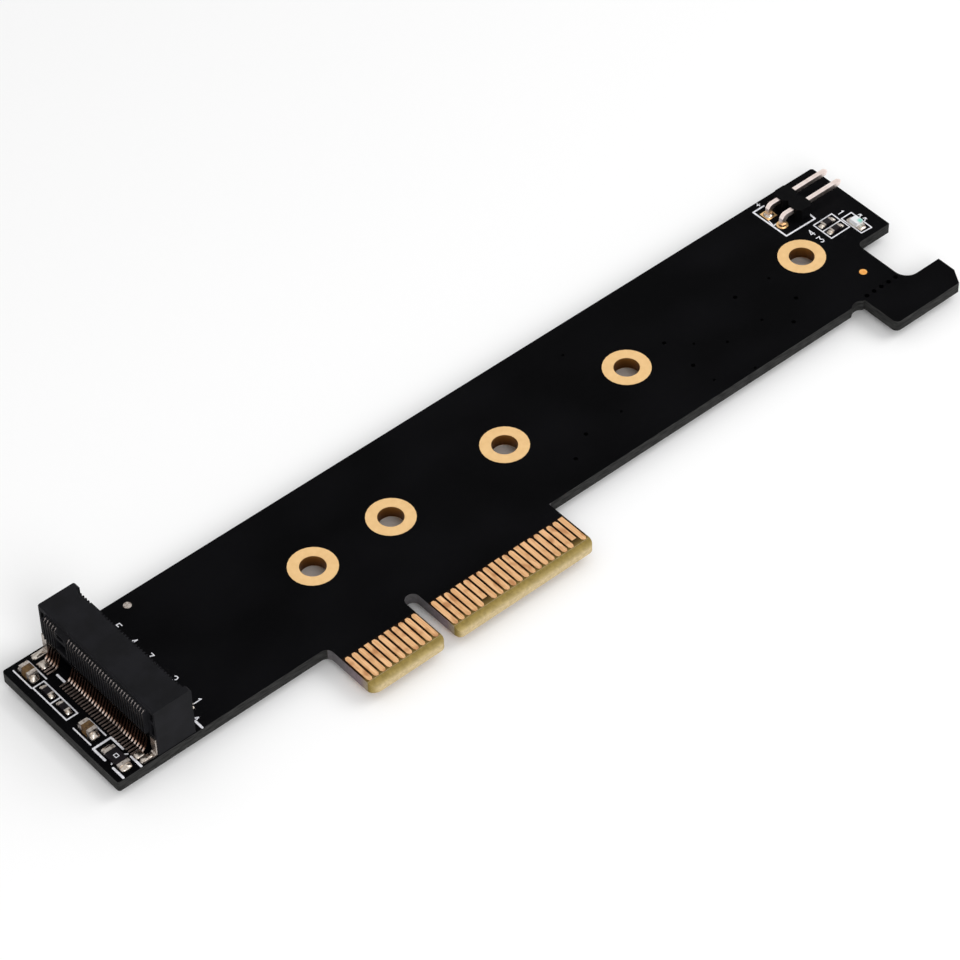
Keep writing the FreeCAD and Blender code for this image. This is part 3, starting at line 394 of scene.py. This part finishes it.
class HardGold(Grained):
    """Hard gold on the edge contacts: rubbed along Y, with browner patches worn by insertion."""

    PATCHES = Grain((1.1, 1.7, 2.0), 1.0)
    PATCH = "#bf8558"
    PATCH_SPAN: Point = (0.52, 0.7)
    PATCH_SHARE = 0.8

    def paint(self, tree: Any, place: Any, tone: Any) -> Tuple[Any, Any]:
        """Lay the worn patches over the rubbed gold.

        Args:
            tree: Node tree.
            place: Socket with the place in millimetres.
            tone: Socket with the rubbed grain.

        Returns:
            Socket with the colour, and socket that the roughness follows.
        """
        rubbed, wear = super().paint(tree, place, tone)
        share = add_node(tree, "ShaderNodeMapRange", {
            "Value": self.PATCHES.lay(tree, place), "From Min": self.PATCH_SPAN[0],
            "From Max": self.PATCH_SPAN[1], "To Max": self.PATCH_SHARE})
        mixed = add_node(tree, "ShaderNodeMix", {
            0: share.outputs["Result"], 6: rubbed, 7: linear(self.PATCH)}, data_type="RGBA")
        return mixed.outputs[2], wear


class ContactBronze(Grained):
    """Stamped phosphor bronze strip with a thin gold flash.

    The bent heel is bright, partly from solder wetting it and partly a painted highlight; the leg
    above it is brown, darkened with painted shade; and the bend at the top is a painted grey
    highlight.
    """

    # painted light by height: heel partly solder and partly painted highlight, leg darkened with
    # painted shade, top bend a painted highlight
    HEIGHTS_WITH_PAINTED_LIGHT = Gradient((
        (1.6, "#4d3d36"), (1.72, "#6e584d"), (1.84, "#f6e6dd"), (2.05, "#c09c88"),
        (2.35, "#4f3428"), (3.3, "#2a1b15"), (4.4, "#1d1613"), (6.4, "#332d2a"),
        (7.6, "#8d8582"), (8.6, "#a39b98")))

    def paint(self, tree: Any, place: Any, tone: Any) -> Tuple[Any, Any]:
        """Colour each contact by its height, painted highlights and painted shade included.

        Args:
            tree: Node tree.
            place: Socket with the place in millimetres.
            tone: Socket with the grain.

        Returns:
            Socket with the colour, and socket that the roughness follows.
        """
        height = add_node(tree, "ShaderNodeSeparateXYZ", {"Vector": place}).outputs["Z"]
        return self.HEIGHTS_WITH_PAINTED_LIGHT.lay(tree, height), tone


class CastEpoxy(Grained):
    """Clear epoxy cast over the lamp's chip: milky white, with a painted teal highlight round one
    spot.
    """

    # painted highlight: the teal glint fades out between these distances from CARD.lamp
    GLINT_SPAN: Point = (0.15, 0.5)

    def paint(self, tree: Any, place: Any, tone: Any) -> Tuple[Any, Any]:
        """Paint a teal highlight round one spot, by the distance from it.

        Args:
            tree: Node tree.
            place: Socket with the place in millimetres.
            tone: Socket with the grain.

        Returns:
            Socket with the colour, and socket that the roughness follows.
        """
        away = add_node(tree, "ShaderNodeVectorMath", {0: place, 1: CARD.lamp},
                        operation="DISTANCE")
        stops = ((self.GLINT_SPAN[0], self.low), (self.GLINT_SPAN[1], self.colour))
        return Gradient(stops).lay(tree, away.outputs["Value"]), tone


class Look(Enum):
    """Named finishes of the card's pieces."""

    MASK = "mask_board"
    RING = "gold_plate"
    FINGER = "hard_gold"
    TIN = "bright_tin"
    SOCKET = "socket_moulding"
    BRONZE = "contact_bronze"
    HEADER = "header_moulding"
    POST = "post_gold"
    SOLDER = "solder"
    CAPACITOR = "capacitor_ceramic"
    RESISTOR = "resistor_glaze"
    CARRIER = "lamp_laminate"
    EPOXY = "lamp_epoxy"
    INK = "ink"
    DOT = "gold_dot"
    SUNK = "sunk_mask"


# pieces whose finish differs from the others of their material slot
APART: Dict[str, Look] = {"gold_dot": Look.DOT}

# how tin, solder and thin gold share their unevenness: froze or plated with a bright, lumpy skin
FROZEN: Dict[str, Any] = {"metallic": 1.0, "span": (0.32, 0.68), "spread": (-0.08, 0.1),
                          "strength": 0.5}
# the grain of a spark-eroded mould is typically about 0.03 mm, so it is drawn coarser, at 0.2 mm
MOULDED: Dict[str, Any] = {"grain": Grain((2.5,) * 3), "raised": Grain((0.2,) * 3, 3.0),
                           "depth": 0.012, "strength": 0.35}

FINISHES: Dict[Look, Finish] = {
    # satin black sheet with a faint cloudiness; its own class adds the tongue and the cut edge
    Look.MASK: MaskedLaminate(
        "solder_mask_on_glass_laminate", "#09090b", 0.46, specular=0.02, low="#040405",
        grain=Grain((14.0, 9.0, 9.0), 1.0), spread=(0.0, 0.14), raised=Grain((0.5,) * 3),
        strength=0.2),
    # plated chemically, so matt and even; low and colour only dim the colour at each height
    Look.RING: ImmersionGold(
        "immersion_gold", "#ffffff", 0.42, metallic=1.0, low="#f2e9dc",
        grain=Grain((0.7,) * 3, 3.0), span=(0.0, 1.0), spread=(-0.08, 0.08), depth=0.006,
        strength=0.2),
    # electroplated hard, then rubbed by sockets: streaks along Y
    Look.FINGER: HardGold(
        "rubbed_hard_gold", "#fccd9c", 0.4, metallic=1.0, low="#dfa973",
        grain=Grain((0.14, 2.4, 1.0), 3.0), span=(0.3, 0.7), spread=(-0.1, 0.1), depth=0.006,
        strength=0.2),
    # electroplated tin: bright grey that goes dull in patches
    Look.TIN: Grained("bright_tin_plate", "#d6cec6", 0.28, low="#978c84",
                      grain=Grain((0.35,) * 3, 3.0), depth=0.02, **FROZEN),
    # liquid-crystal polymer: dark grey, matt, hardly any sheen
    Look.SOCKET: Grained("moulded_liquid_crystal_polymer", "#1a1a1d", 0.6, specular=0.06,
                         low="#151517", **MOULDED),
    # stamped and flashed strip: each height of the contact has its own tone, with painted
    # highlights at the heel and the top bend and painted shade on the leg
    Look.BRONZE: ContactBronze("stamped_phosphor_bronze", "#8a6a55", 0.34, metallic=1.0,
                               low="#8a6a55", grain=Grain((0.3, 0.3, 0.8)), spread=(-0.08, 0.08),
                               depth=0.0),
    # glass-filled nylon: almost black, with a dry surface
    Look.HEADER: Grained("moulded_glass_filled_nylon", "#09090b", 0.55, specular=0.04,
                         low="#050506", **MOULDED),
    # drawn square wire with a thin flash: smooth and pinkish white
    Look.POST: Grained("gold_flashed_brass_wire", "#fff2ec", 0.3, low="#f4e2da",
                       grain=Grain((0.8,) * 3, 3.0), depth=0.003, **FROZEN),
    # reflowed solder: the brightest and lumpiest metal of the card
    Look.SOLDER: Grained("reflowed_solder", "#dcd5cc", 0.22, low="#a89c90",
                         grain=Grain((0.3,) * 3, 3.0), depth=0.04, **FROZEN),
    # fired and tumbled ceramic: brown and matt
    Look.CAPACITOR: Grained("fired_barium_titanate", "#735835", 0.45, specular=0.15,
                            low="#4a3725", grain=Grain((0.3,) * 3, 4.0)),
    # alumina under a printed glaze: dark purple brown
    Look.RESISTOR: Grained("glazed_alumina_chip", "#181217", 0.4, specular=0.15, low="#0d090c",
                           grain=Grain((0.4,) * 3, 4.0)),
    # pressed white laminate under the lamp
    Look.CARRIER: Grained("white_lamp_laminate", "#dedbd1", 0.5, specular=0.15, low="#c9c6bc",
                          grain=Grain((0.5,) * 3, 4.0)),
    # cast and cured clear: smooth, a little wavy; low is the colour of the painted teal highlight
    Look.EPOXY: CastEpoxy("cast_clear_epoxy", "#f0f2f5", 0.18, transmission=0.1, low="#86d8c8",
                          grain=Grain((0.4,) * 3), depth=0.02),
    # screened ink: flat white with thin places
    Look.INK: Grained("screened_epoxy_ink", "#f4f4f8", 0.6, specular=0.15, low="#cfcfd5",
                      grain=Grain((0.3,) * 3, 4.0)),
    # a thin gold skin, warmer than the rings
    Look.DOT: Grained("thin_immersion_gold", "#ffc474", 0.4, low="#f9aa52",
                      grain=Grain((0.5,) * 3, 3.0), depth=0.004, **FROZEN),
    # mask that dips into small holes, painted nearly black as painted shade of the hollows
    Look.SUNK: Grained("mask_sunk_into_plated_holes", "#020202", 0.8, specular=0.0,
                       low="#010101", **MOULDED),
}


class Paintbox:
    """Makes each finish once and dresses the solids with them."""

    def __init__(self) -> None:
        """Make every finish."""
        self.looks: Dict[Look, Any] = {look: finish.make() for look, finish in FINISHES.items()}

    def dress(self, nodes: Mapping[str, Any], slots: Mapping[str, str]) -> None:
        """Give each solid the finish of its material slot.

        Args:
            nodes: Solids by name.
            slots: Material slot of each solid.
        """
        for name, piece in nodes.items():
            piece.data.materials.clear()
            piece.data.materials.append(self.looks[APART.get(name, Look(slots[name]))])
            LOG.info("dressed %s as %s", name, slots[name])


# ---------------------------------------------------------------- meshes

def make_piece(name: str, points: np.ndarray, faces: Iterable[Sequence[int]], look: Any,
               smooth: bool) -> Any:
    """Make one piece of the card from its points and faces.

    Args:
        name: Name of the piece.
        points: Places in millimetres, one row each.
        faces: Corner numbers of each face, seen anticlockwise from outside.
        look: Material.
        smooth: True where the surface is round.

    Returns:
        The object, riding on the card.
    """
    mesh = bpy.data.meshes.new(name)
    mesh.from_pydata((points * MM).tolist(), [], [list(face) for face in faces])
    mesh.update()
    mesh.materials.append(look)
    mesh.polygons.foreach_set("use_smooth", [smooth] * len(mesh.polygons))
    piece = bpy.data.objects.new(name, mesh)
    bpy.context.scene.collection.objects.link(piece)
    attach(piece, "root")
    LOG.info("made %s: %d faces", name, len(mesh.polygons))
    return piece


INK_STEP = 0.0006


class Heap:
    """Closed shapes gathered into one piece."""

    def __init__(self) -> None:
        """Start empty."""
        self.points: List[np.ndarray] = []
        self.faces: List[List[int]] = []
        self.count = 0

    def add(self, points: np.ndarray, faces: Iterable[Sequence[int]]) -> None:
        """Add one closed shape.

        Args:
            points: Its places.
            faces: Its faces, numbered from 0.
        """
        self.faces += [[corner + self.count for corner in face] for face in faces]
        self.points.append(points)
        self.count += len(points)

    def dome(self, centre: Point, half: Point, height: float, lean: Point = (0.0, 0.0),
             base: float = CARD.top, square: float = 4.0, fall: float = 0.6,
             around: int = 20, rings: int = 5) -> None:
        """Add a closed mound on a rounded-square foot.

        The foot is the superellipse |x/a|^n + |y/b|^n = 1. At a share r of the way out the height
        is (1 - r^2)^fall of the peak, and the peak leans by a share of the foot's half sizes.

        Args:
            centre: Middle of the foot.
            half: Half sizes a and b of the foot.
            height: Height of the peak.
            lean: Shift of the peak, as a share of the half sizes.
            base: Height of the foot.
            square: Power n of the superellipse.
            fall: Power of the fall; small is full, large is hollow.
            around: Points round the foot.
            rings: Rings from foot to peak.
        """
        turn = np.arange(around) * 2 * math.pi / around
        cos, sin = np.cos(turn), np.sin(turn)
        reach = (np.abs(cos) ** square + np.abs(sin) ** square) ** (-1 / square)
        share = 1 - np.arange(rings) / rings
        out = share[:, None]
        x = centre[0] + half[0] * (out * reach * cos + (1 - out) * lean[0])
        y = centre[1] + half[1] * (out * reach * sin + (1 - out) * lean[1])
        z = base + height * (1 - np.broadcast_to(out, x.shape) ** 2) ** fall
        grid = np.stack([x, y, z], -1).reshape(-1, 3)
        peak = [centre[0] + half[0] * lean[0], centre[1] + half[1] * lean[1], base + height]
        following = [(step + 1) % around for step in range(around)]
        faces: List[List[int]] = [list(range(around))[::-1]]
        for ring in range(rings - 1):
            low, high = ring * around, (ring + 1) * around
            faces += [[low + step, low + after, high + after, high + step]
                      for step, after in enumerate(following)]
        last, tip = (rings - 1) * around, rings * around
        faces += [[last + step, last + after, tip] for step, after in enumerate(following)]
        self.add(np.vstack([grid, [peak]]), faces)

    def ink(self, stroke: Stroke, width: float, thickness: float = 0.02, base: float = CARD.top,
            ends: int = 5) -> None:
        """Add a printed line: each straight run is a flat bar with half-round ends.

        The outline of a run is two half circles of the line's width joined by straight sides,
        carried up by the ink's thickness.

        Args:
            stroke: Points of the line.
            width: Width of the line.
            thickness: Thickness of the ink.
            base: Height of the surface that it is printed on.
            ends: Steps of each half circle.
        """
        for number, (start, stop) in enumerate(zip(stroke, stroke[1:])):
            along = math.atan2(stop[1] - start[1], stop[0] - start[0])
            bow = along - math.pi / 2 + np.linspace(0, math.pi, ends)
            turns = np.concatenate([bow, bow + math.pi])
            middle = np.repeat(np.array([stop, start], float), ends, axis=0)
            outline = middle + width / 2 * np.stack([np.cos(turns), np.sin(turns)], -1)
            # a hair more ink on each following run keeps their tops apart
            levels = (base, base + thickness + INK_STEP * (number % 4))
            points = np.vstack([np.column_stack([outline, np.full(2 * ends, level)])
                                for level in levels])
            size = 2 * ends
            faces = [list(range(size))[::-1], list(range(size, 2 * size))]
            faces += [[step, (step + 1) % size, (step + 1) % size + size, step + size]
                      for step in range(size)]
            self.add(points, faces)

    def place(self, name: str, look: Any, slot: str, smooth: bool) -> Any:
        """Turn the heap into one piece.

        Args:
            name: Name of the piece.
            look: Material.
            slot: The record's material slot; not used.
            smooth: True where the surface is round.

        Returns:
            The object.
        """
        return make_piece(name, np.vstack(self.points), self.faces, look, smooth)


# ---------------------------------------------------------------- print

# each sign on a field 1 wide and 2 high
DIGITS: Dict[str, List[Stroke]] = {
    "1": [((0.1, 1.6), (0.5, 2), (0.5, 0))],
    "2": [((0, 1.7), (0.3, 2), (0.8, 2), (1, 1.6), (1, 1.3), (0, 0), (1, 0))],
    "3": [((0, 2), (1, 2), (0.5, 1.15), (1, 0.7), (0.8, 0.1), (0.3, 0), (0, 0.3))],
    "4": [((0.75, 0), (0.75, 2), (0, 0.6), (1, 0.6))],
    "5": [((1, 2), (0.1, 2), (0, 1.1), (0.7, 1.2), (1, 0.8), (0.8, 0.1), (0, 0.1))],
    "+": [((0, 1), (1, 1)), ((0.5, 0.4), (0.5, 1.6))],
}


def make_frame(left: float, low: float, right: float, high: float) -> List[Point]:
    """Closed line round a rectangle, from its lower left corner."""
    return [(left, low), (right, low), (right, high), (left, high), (left, low)]


@dataclass(frozen=True)
class Print:
    """White print on the component side: boxes round the parts, brackets and plain digits."""

    line_width: float = 0.19
    header_width: float = 0.24
    lamp_width: float = 0.17
    bar_width: float = 0.3
    digit_width: float = 0.13
    digit_height: float = 1.05
    box_left: float = -41.36
    box_right: float = -39.78
    digit_line: float = -28.42
    link_half: Point = (0.22, 0.26)
    link_width: float = 0.1
    link_thickness: float = 0.012

    def digit(self, heap: Heap, sign: str, centre: Point, turned: bool,
              height: float = 0.0) -> None:
        """Print one sign.

        Args:
            heap: Heap that receives it.
            sign: One of the signs in DIGITS.
            centre: Its middle.
            turned: True where it reads towards the edge contacts.
            height: Its height, or 0 for the usual height of a digit.
        """
        unit = (height or self.digit_height) / 2
        for stroke in DIGITS[sign]:
            placed = [((u - 0.5) * unit, (v - 1) * unit) for u, v in stroke]
            heap.ink([(centre[0] + v, centre[1] - u) if turned else (centre[0] + u, centre[1] + v)
                      for u, v in placed], self.digit_width)

    def socket_end(self, look: Any) -> None:
        """Print behind the socket: lines beside the large capacitors, two boxes and brackets."""
        heap = Heap()
        for low, high in ((22.75, 26.3), (11.4, 14.7)):
            for x in (-41.5, -39.36):
                heap.ink(((x, low), (x, high)), self.line_width)
        heap.ink(make_frame(self.box_left, 16.2, self.box_right, 22.65), self.line_width)
        heap.ink(((self.box_left, 19.4), (self.box_right, 19.4)), self.line_width)
        heap.ink(((-41.64, 8.5), (-41.64, 10.75), (-39.1, 10.75), (-39.1, 8.5)), self.bar_width)
        for stroke in (((-41.64, 7.0), (-41.64, 5.1)), ((-39.1, 7.0), (-39.1, 5.1)),
                       ((-38.08, 20.7), (-38.08, 22.4))):
            heap.ink(stroke, self.bar_width)
        for stroke in (((-41.2, 7.75), (-41.45, 7.55)), ((-39.65, 7.9), (-39.15, 7.55)),
                       ((-38.1, 5.3), (-38.1, 7.3))):
            heap.ink(stroke, self.line_width)
        heap.place("legend_socket_end", look, "mask_board", False)

    def mouth_side(self, look: Any) -> None:
        """Print in front of the socket: plain digits, and a short bar with an arrow head."""
        heap = Heap()
        for sign, y in (("5", 23.75), ("4", 20.65), ("3", 17.55), ("2", 12.95), ("1", 8.45)):
            self.digit(heap, sign, (self.digit_line, y), True)
        heap.ink(((-30.45, 5.0), (-30.45, 6.3)), self.bar_width)
        heap.ink(((-30.2, 6.35), (-29.8, 6.5), (-30.15, 6.7), (-30.2, 6.35)), self.digit_width)
        heap.place("legend_mouth_side", look, "mask_board", False)

    def header(self, look: Any) -> None:
        """Print round the lamp header: an open box with a plus mark."""
        heap = Heap()
        heap.ink(((80.89, 20.98), (80.82, 19.87), (75.84, 19.96), (75.74, 26.0), (77.6, 26.0)),
                 self.header_width)
        heap.ink(((76.11, 23.46), (75.95, 22.43), (76.46, 22.5)), self.lamp_width)
        self.digit(heap, "+", (77.23, 26.62), False, 0.9)
        heap.place("legend_header", look, "mask_board", False)

    def lamp_end(self, look: Any) -> None:
        """Print round the lamp and its two resistors, with plain digits and two small arrows."""
        heap = Heap()
        for stroke in (make_frame(79.8, 15.8, 83.04, 19.1), ((79.8, 17.45), (83.04, 17.45)),
                       ((83.34, 13.98), (85.05, 13.86), (85.08, 17.6), (83.3, 17.6),
                        (83.34, 13.98))):
            heap.ink(stroke, self.lamp_width)
        for y in (15.6, 16.5):
            heap.ink(((85.3, y - 0.25), (85.75, y + 0.1)), self.digit_width)
            heap.ink(((85.45, y + 0.2), (85.75, y + 0.1), (85.7, y - 0.2)), self.digit_width)
        self.digit(heap, "4", (78.6, 18.24), False)
        self.digit(heap, "3", (78.61, 16.57), False)
        self.digit(heap, "1", (84.1, 18.45), True, 0.9)
        heap.place("legend_lamp_end", look, "mask_board", False)

    def link_mark(self, look: Any) -> None:
        """Print the small nought on top of the zero-ohm link."""
        low, high = (np.array(corner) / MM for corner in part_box("zero_ohm_link"))
        x, y = (low[:2] + high[:2]) / 2
        wide, long = self.link_half
        heap = Heap()
        heap.ink(make_frame(x - wide, y - long, x + wide, y + long), self.link_width,
                 thickness=self.link_thickness, base=high[2])
        heap.place("link_mark", look, "resistor_glaze", False)


# ---------------------------------------------------------------- solder

@dataclass(frozen=True)
class FilletRow:
    """Solder at both ends of one kind of chip part."""

    name: str
    x: float
    places: Tuple[float, ...]
    part_half: float
    half: Point
    height: float
    along_y: bool = True


FILLETS: Tuple[FilletRow, ...] = (
    FilletRow("fillets_large_capacitors", CARD.chips, (24.6, 13.1), 1.0, (0.72, 0.55), 0.85),
    FilletRow("fillets_small_resistors", CARD.chips, (21.0, 17.8), 0.8, (0.45, 0.36), 0.36),
    FilletRow("fillets_zero_ohm_link", CARD.chips, (7.85,), 1.6, (0.85, 0.6), 0.45),
    FilletRow("fillets_lamp_resistors", 81.3, (18.2, 16.65), 0.84, (0.42, 0.46), 0.4, False),
    FilletRow("fillets_lamp", 84.05, (15.65,), 1.0, (0.6, 0.33), 0.24),
    FilletRow("fillets_tiny_capacitors", -29.5, tuple(8.6 + 3.7 * step for step in range(5)),
              0.5, (0.27, 0.26), 0.36))


@dataclass(frozen=True)
class Solder:
    """Reflowed solder at the chip parts, the socket's tails and the clips, and on the header."""

    toe: float = 0.12
    lean: float = -0.45
    rear_x: float = -38.15
    rear_half: Point = (0.5, 0.13)
    front_x: float = -30.85
    front_half: Point = (0.4, 0.13)
    tail_height: float = 0.09
    block_x: float = -38.3
    block_height: float = 0.32
    foot_x: float = -38.0
    foot_half: Point = (0.95, 0.42)
    foot_height: float = 0.34
    post: Point = (76.9, 24.37)
    collar_half: float = 0.72
    collar_height: float = 0.3
    pad: float = 0.05

    def chip_ends(self, look: Any) -> None:
        """Fillets at both ends of each chip part; each climbs its end cap."""
        for row in FILLETS:
            heap = Heap()
            for y in row.places:
                for side in (-1, 1):
                    shift, lean = side * (row.part_half + self.toe), side * self.lean
                    along, across = (row.x, y + shift), (row.x + shift, y)
                    heap.dome(along if row.along_y else across, row.half, row.height,
                              (0.0, lean) if row.along_y else (lean, 0.0), fall=0.8)
            heap.place(row.name, look, "solder", True)

    def pin_places(self, shift: float, far: int) -> List[float]:
        """Places across the card of one row of the socket's contacts.

        Args:
            shift: How far the row stands from the rear row's places.
            far: Contacts beyond the key.

        Returns:
            Middle of each contact.
        """
        steps = list(range(CARD.near_pins))
        steps += [CARD.near_pins + CARD.key_pins + step for step in range(far)]
        return [CARD.first_pin + shift + CARD.pin_pitch * step for step in steps]

    def tails(self, look: Any) -> None:
        """A low ridge of solder round each tail of both rows."""
        rows = (("solder_rear_tails", self.rear_x, self.rear_half, 0.0, CARD.far_pins),
                ("solder_front_tails", self.front_x, self.front_half, CARD.pin_pitch / 2,
                 CARD.far_pins - 1))
        for name, x, half, shift, far in rows:
            heap = Heap()
            for y in self.pin_places(shift, far):
                heap.dome((x, y), half, self.tail_height, fall=0.5, around=12, rings=3)
            heap.place(name, look, "solder", True)

    def blocks(self, look: Any) -> None:
        """Joined joints at both ends of the rear row, and the feet of the two clips."""
        heap = Heap()
        for y, half in ((6.55, (0.72, 0.55)), (24.65, (0.72, 0.75))):
            heap.dome((self.block_x, y), half, self.block_height, fall=0.4)
        for y in (5.55, 26.25):
            heap.dome((self.foot_x, y), self.foot_half, self.foot_height, (0.3, 0.0), fall=0.55)
        heap.place("solder_blocks", look, "solder", True)

    def header_pads(self, look: Any) -> None:
        """A shallow collar of solder round the plus post; the other pad is bare on this side."""
        heap = Heap()
        heap.dome(self.post, (self.collar_half, self.collar_half), self.collar_height, square=2.0,
                  fall=1.3, base=CARD.top + self.pad)
        heap.place("solder_header_collar", look, "solder", True)


@dataclass(frozen=True)
class Vias:
    """Small plated holes under the mask: low beads painted black as painted shade, so that they
    look sunken.
    """

    radius: float = 0.27
    height: float = 0.025
    plain: int = 7
    faint_share: float = 0.7
    places: Tuple[Point, ...] = (
        (63.2, 16.1), (68.8, 10.9), (65.6, 8.0), (51.0, 10.7), (51.0, 16.0), (33.2, 10.7),
        (29.5, 8.4), (40.2, 22.8), (39.0, 10.7), (62.9, 10.9), (68.75, 15.8), (51.2, 7.1),
        (57.0, 10.9), (53.65, 13.45), (56.4, 5.3))

    def build(self, look: Any) -> None:
        """Make a bead at each place; those after the plain ones are smaller and lower."""
        heap = Heap()
        for number, place in enumerate(self.places):
            share = 1.0 if number < self.plain else self.faint_share
            heap.dome(place, (self.radius * share, self.radius * share), self.height * share,
                      square=2.0, around=16, rings=3)
        heap.place("mask_filled_vias", look, "mask_board", True)


# ---------------------------------------------------------------- studio

@dataclass(frozen=True)
class Studio:
    """Pale floor that sweeps up behind, soft lamps and the camera."""

    camera_place: Tuple[float, float, float] = (-190.02, -238.76, 344.34)
    camera_aim: Tuple[float, float, float] = (18.545, 13.433, 1.6)
    camera_roll: float = -1.609
    lens: float = 147.59
    reach: float = 3000.0
    bend: float = 600.0
    floor_gap: float = 0.02
    surroundings: Point = (0.7, 1.0)
    lamps: Tuple[Tuple[str, Tuple[float, float, float], float, float], ...] = (
        ("key_lamp", (-150.0, -420.0, 330.0), 300.0, 1.1),
        ("fill_lamp", (380.0, -160.0, 420.0), 400.0, 0.9))

    def floor(self) -> None:
        """Sweep: flat, then a quarter circle of the bend's radius, then upright.

        The profile's height is 0 up to the bend and bend * (1 - cos(angle)) along it.
        """
        lowest = FRAME_BOX[0][2] / MM - self.floor_gap
        angle = np.linspace(0, math.pi / 2, 17)
        along = np.concatenate([[-self.reach], self.reach / 2 + self.bend * np.sin(angle),
                                [self.reach / 2 + self.bend]])
        up = np.concatenate([[0.0], self.bend * (1 - np.cos(angle)), [self.reach]])
        across = np.linspace(-self.reach, self.reach, 9)
        x, y = np.meshgrid(across, along)
        z = np.broadcast_to((lowest + up)[:, None], x.shape)
        points = np.stack([x, y, z], -1).reshape(-1, 3)
        wide = len(across)
        faces = [[row * wide + col, row * wide + col + 1, (row + 1) * wide + col + 1,
                  (row + 1) * wide + col]
                 for row in range(len(along) - 1) for col in range(wide - 1)]
        mesh = bpy.data.meshes.new("studio_floor")
        mesh.from_pydata((points * MM).tolist(), [], faces)
        mesh.polygons.foreach_set("use_smooth", [True] * len(mesh.polygons))
        mesh.materials.append(Finish("matt_paper_sweep", "#fbfbfb", 0.9, specular=0.0).make())
        sweep = bpy.data.objects.new("studio_floor", mesh)
        bpy.context.scene.collection.objects.link(sweep)

    def light(self) -> None:
        """White surroundings for what looks at them, a softer level on the card, and the lamps."""
        scene = bpy.context.scene
        world = bpy.data.worlds.new("studio_world")
        scene.world = world
        world.use_nodes = True
        tree = world.node_tree
        tree.nodes.clear()
        rays = add_node(tree, "ShaderNodeLightPath", {})
        seen = add_node(tree, "ShaderNodeMath", {
            0: rays.outputs["Is Camera Ray"], 1: rays.outputs["Is Glossy Ray"]},
            operation="MAXIMUM")
        seen = add_node(tree, "ShaderNodeMath", {
            0: seen.outputs[0], 1: rays.outputs["Is Transmission Ray"]}, operation="MAXIMUM")
        strength = add_node(tree, "ShaderNodeMapRange", {
            "Value": seen.outputs[0], "To Min": self.surroundings[0],
            "To Max": self.surroundings[1]})
        glow = add_node(tree, "ShaderNodeBackground", {
            "Color": linear("#ffffff"), "Strength": strength.outputs["Result"]})
        add_node(tree, "ShaderNodeOutputWorld", {"Surface": glow.outputs["Background"]})
        for name, place, size, power in self.lamps:
            data = bpy.data.lights.new(name, "AREA")
            data.shape, data.size, data.energy = "DISK", size * MM, power
            lamp = bpy.data.objects.new(name, data)
            lamp.location = Vector(place) * MM
            aim = Vector(self.camera_aim) * MM - lamp.location
            lamp.rotation_euler = aim.to_track_quat("-Z", "Y").to_euler()
            scene.collection.objects.link(lamp)

    def camera(self) -> None:
        """Camera at its place, aimed at the card and rolled a little."""
        data = bpy.data.cameras.new("camera")
        data.lens, data.sensor_width = self.lens, 36.0
        data.clip_start, data.clip_end = 0.01, 20.0
        camera = bpy.data.objects.new("camera", data)
        place, aim = Vector(self.camera_place) * MM, Vector(self.camera_aim) * MM
        turn = (aim - place).to_track_quat("-Z", "Y").to_matrix().to_4x4()
        roll = Matrix.Rotation(math.radians(self.camera_roll), 4, "Z")
        camera.matrix_world = Matrix.Translation(place) @ turn @ roll
        bpy.context.scene.collection.objects.link(camera)
        bpy.context.scene.camera = camera


def main() -> None:
    """Dress the solids, build what the print and the solder add, and set the studio."""
    logging.basicConfig(level=logging.INFO, format="%(message)s")
    paint = Paintbox()
    slots = {part["node"]: part["material_slot"] for part in frame["record"]["subparts"]}
    paint.dress(frame["nodes"], slots)
    legend = Print()
    for build in (legend.socket_end, legend.mouth_side, legend.header, legend.lamp_end,
                  legend.link_mark):
        build(paint.looks[Look.INK])
    solder = Solder()
    for build in (solder.chip_ends, solder.tails, solder.blocks, solder.header_pads):
        build(paint.looks[Look.SOLDER])
    Vias().build(paint.looks[Look.SUNK])
    studio = Studio()
    studio.floor()
    studio.light()
    studio.camera()
    bpy.context.scene.view_settings.view_transform = "Standard"


if __name__ == "__main__":
    main()
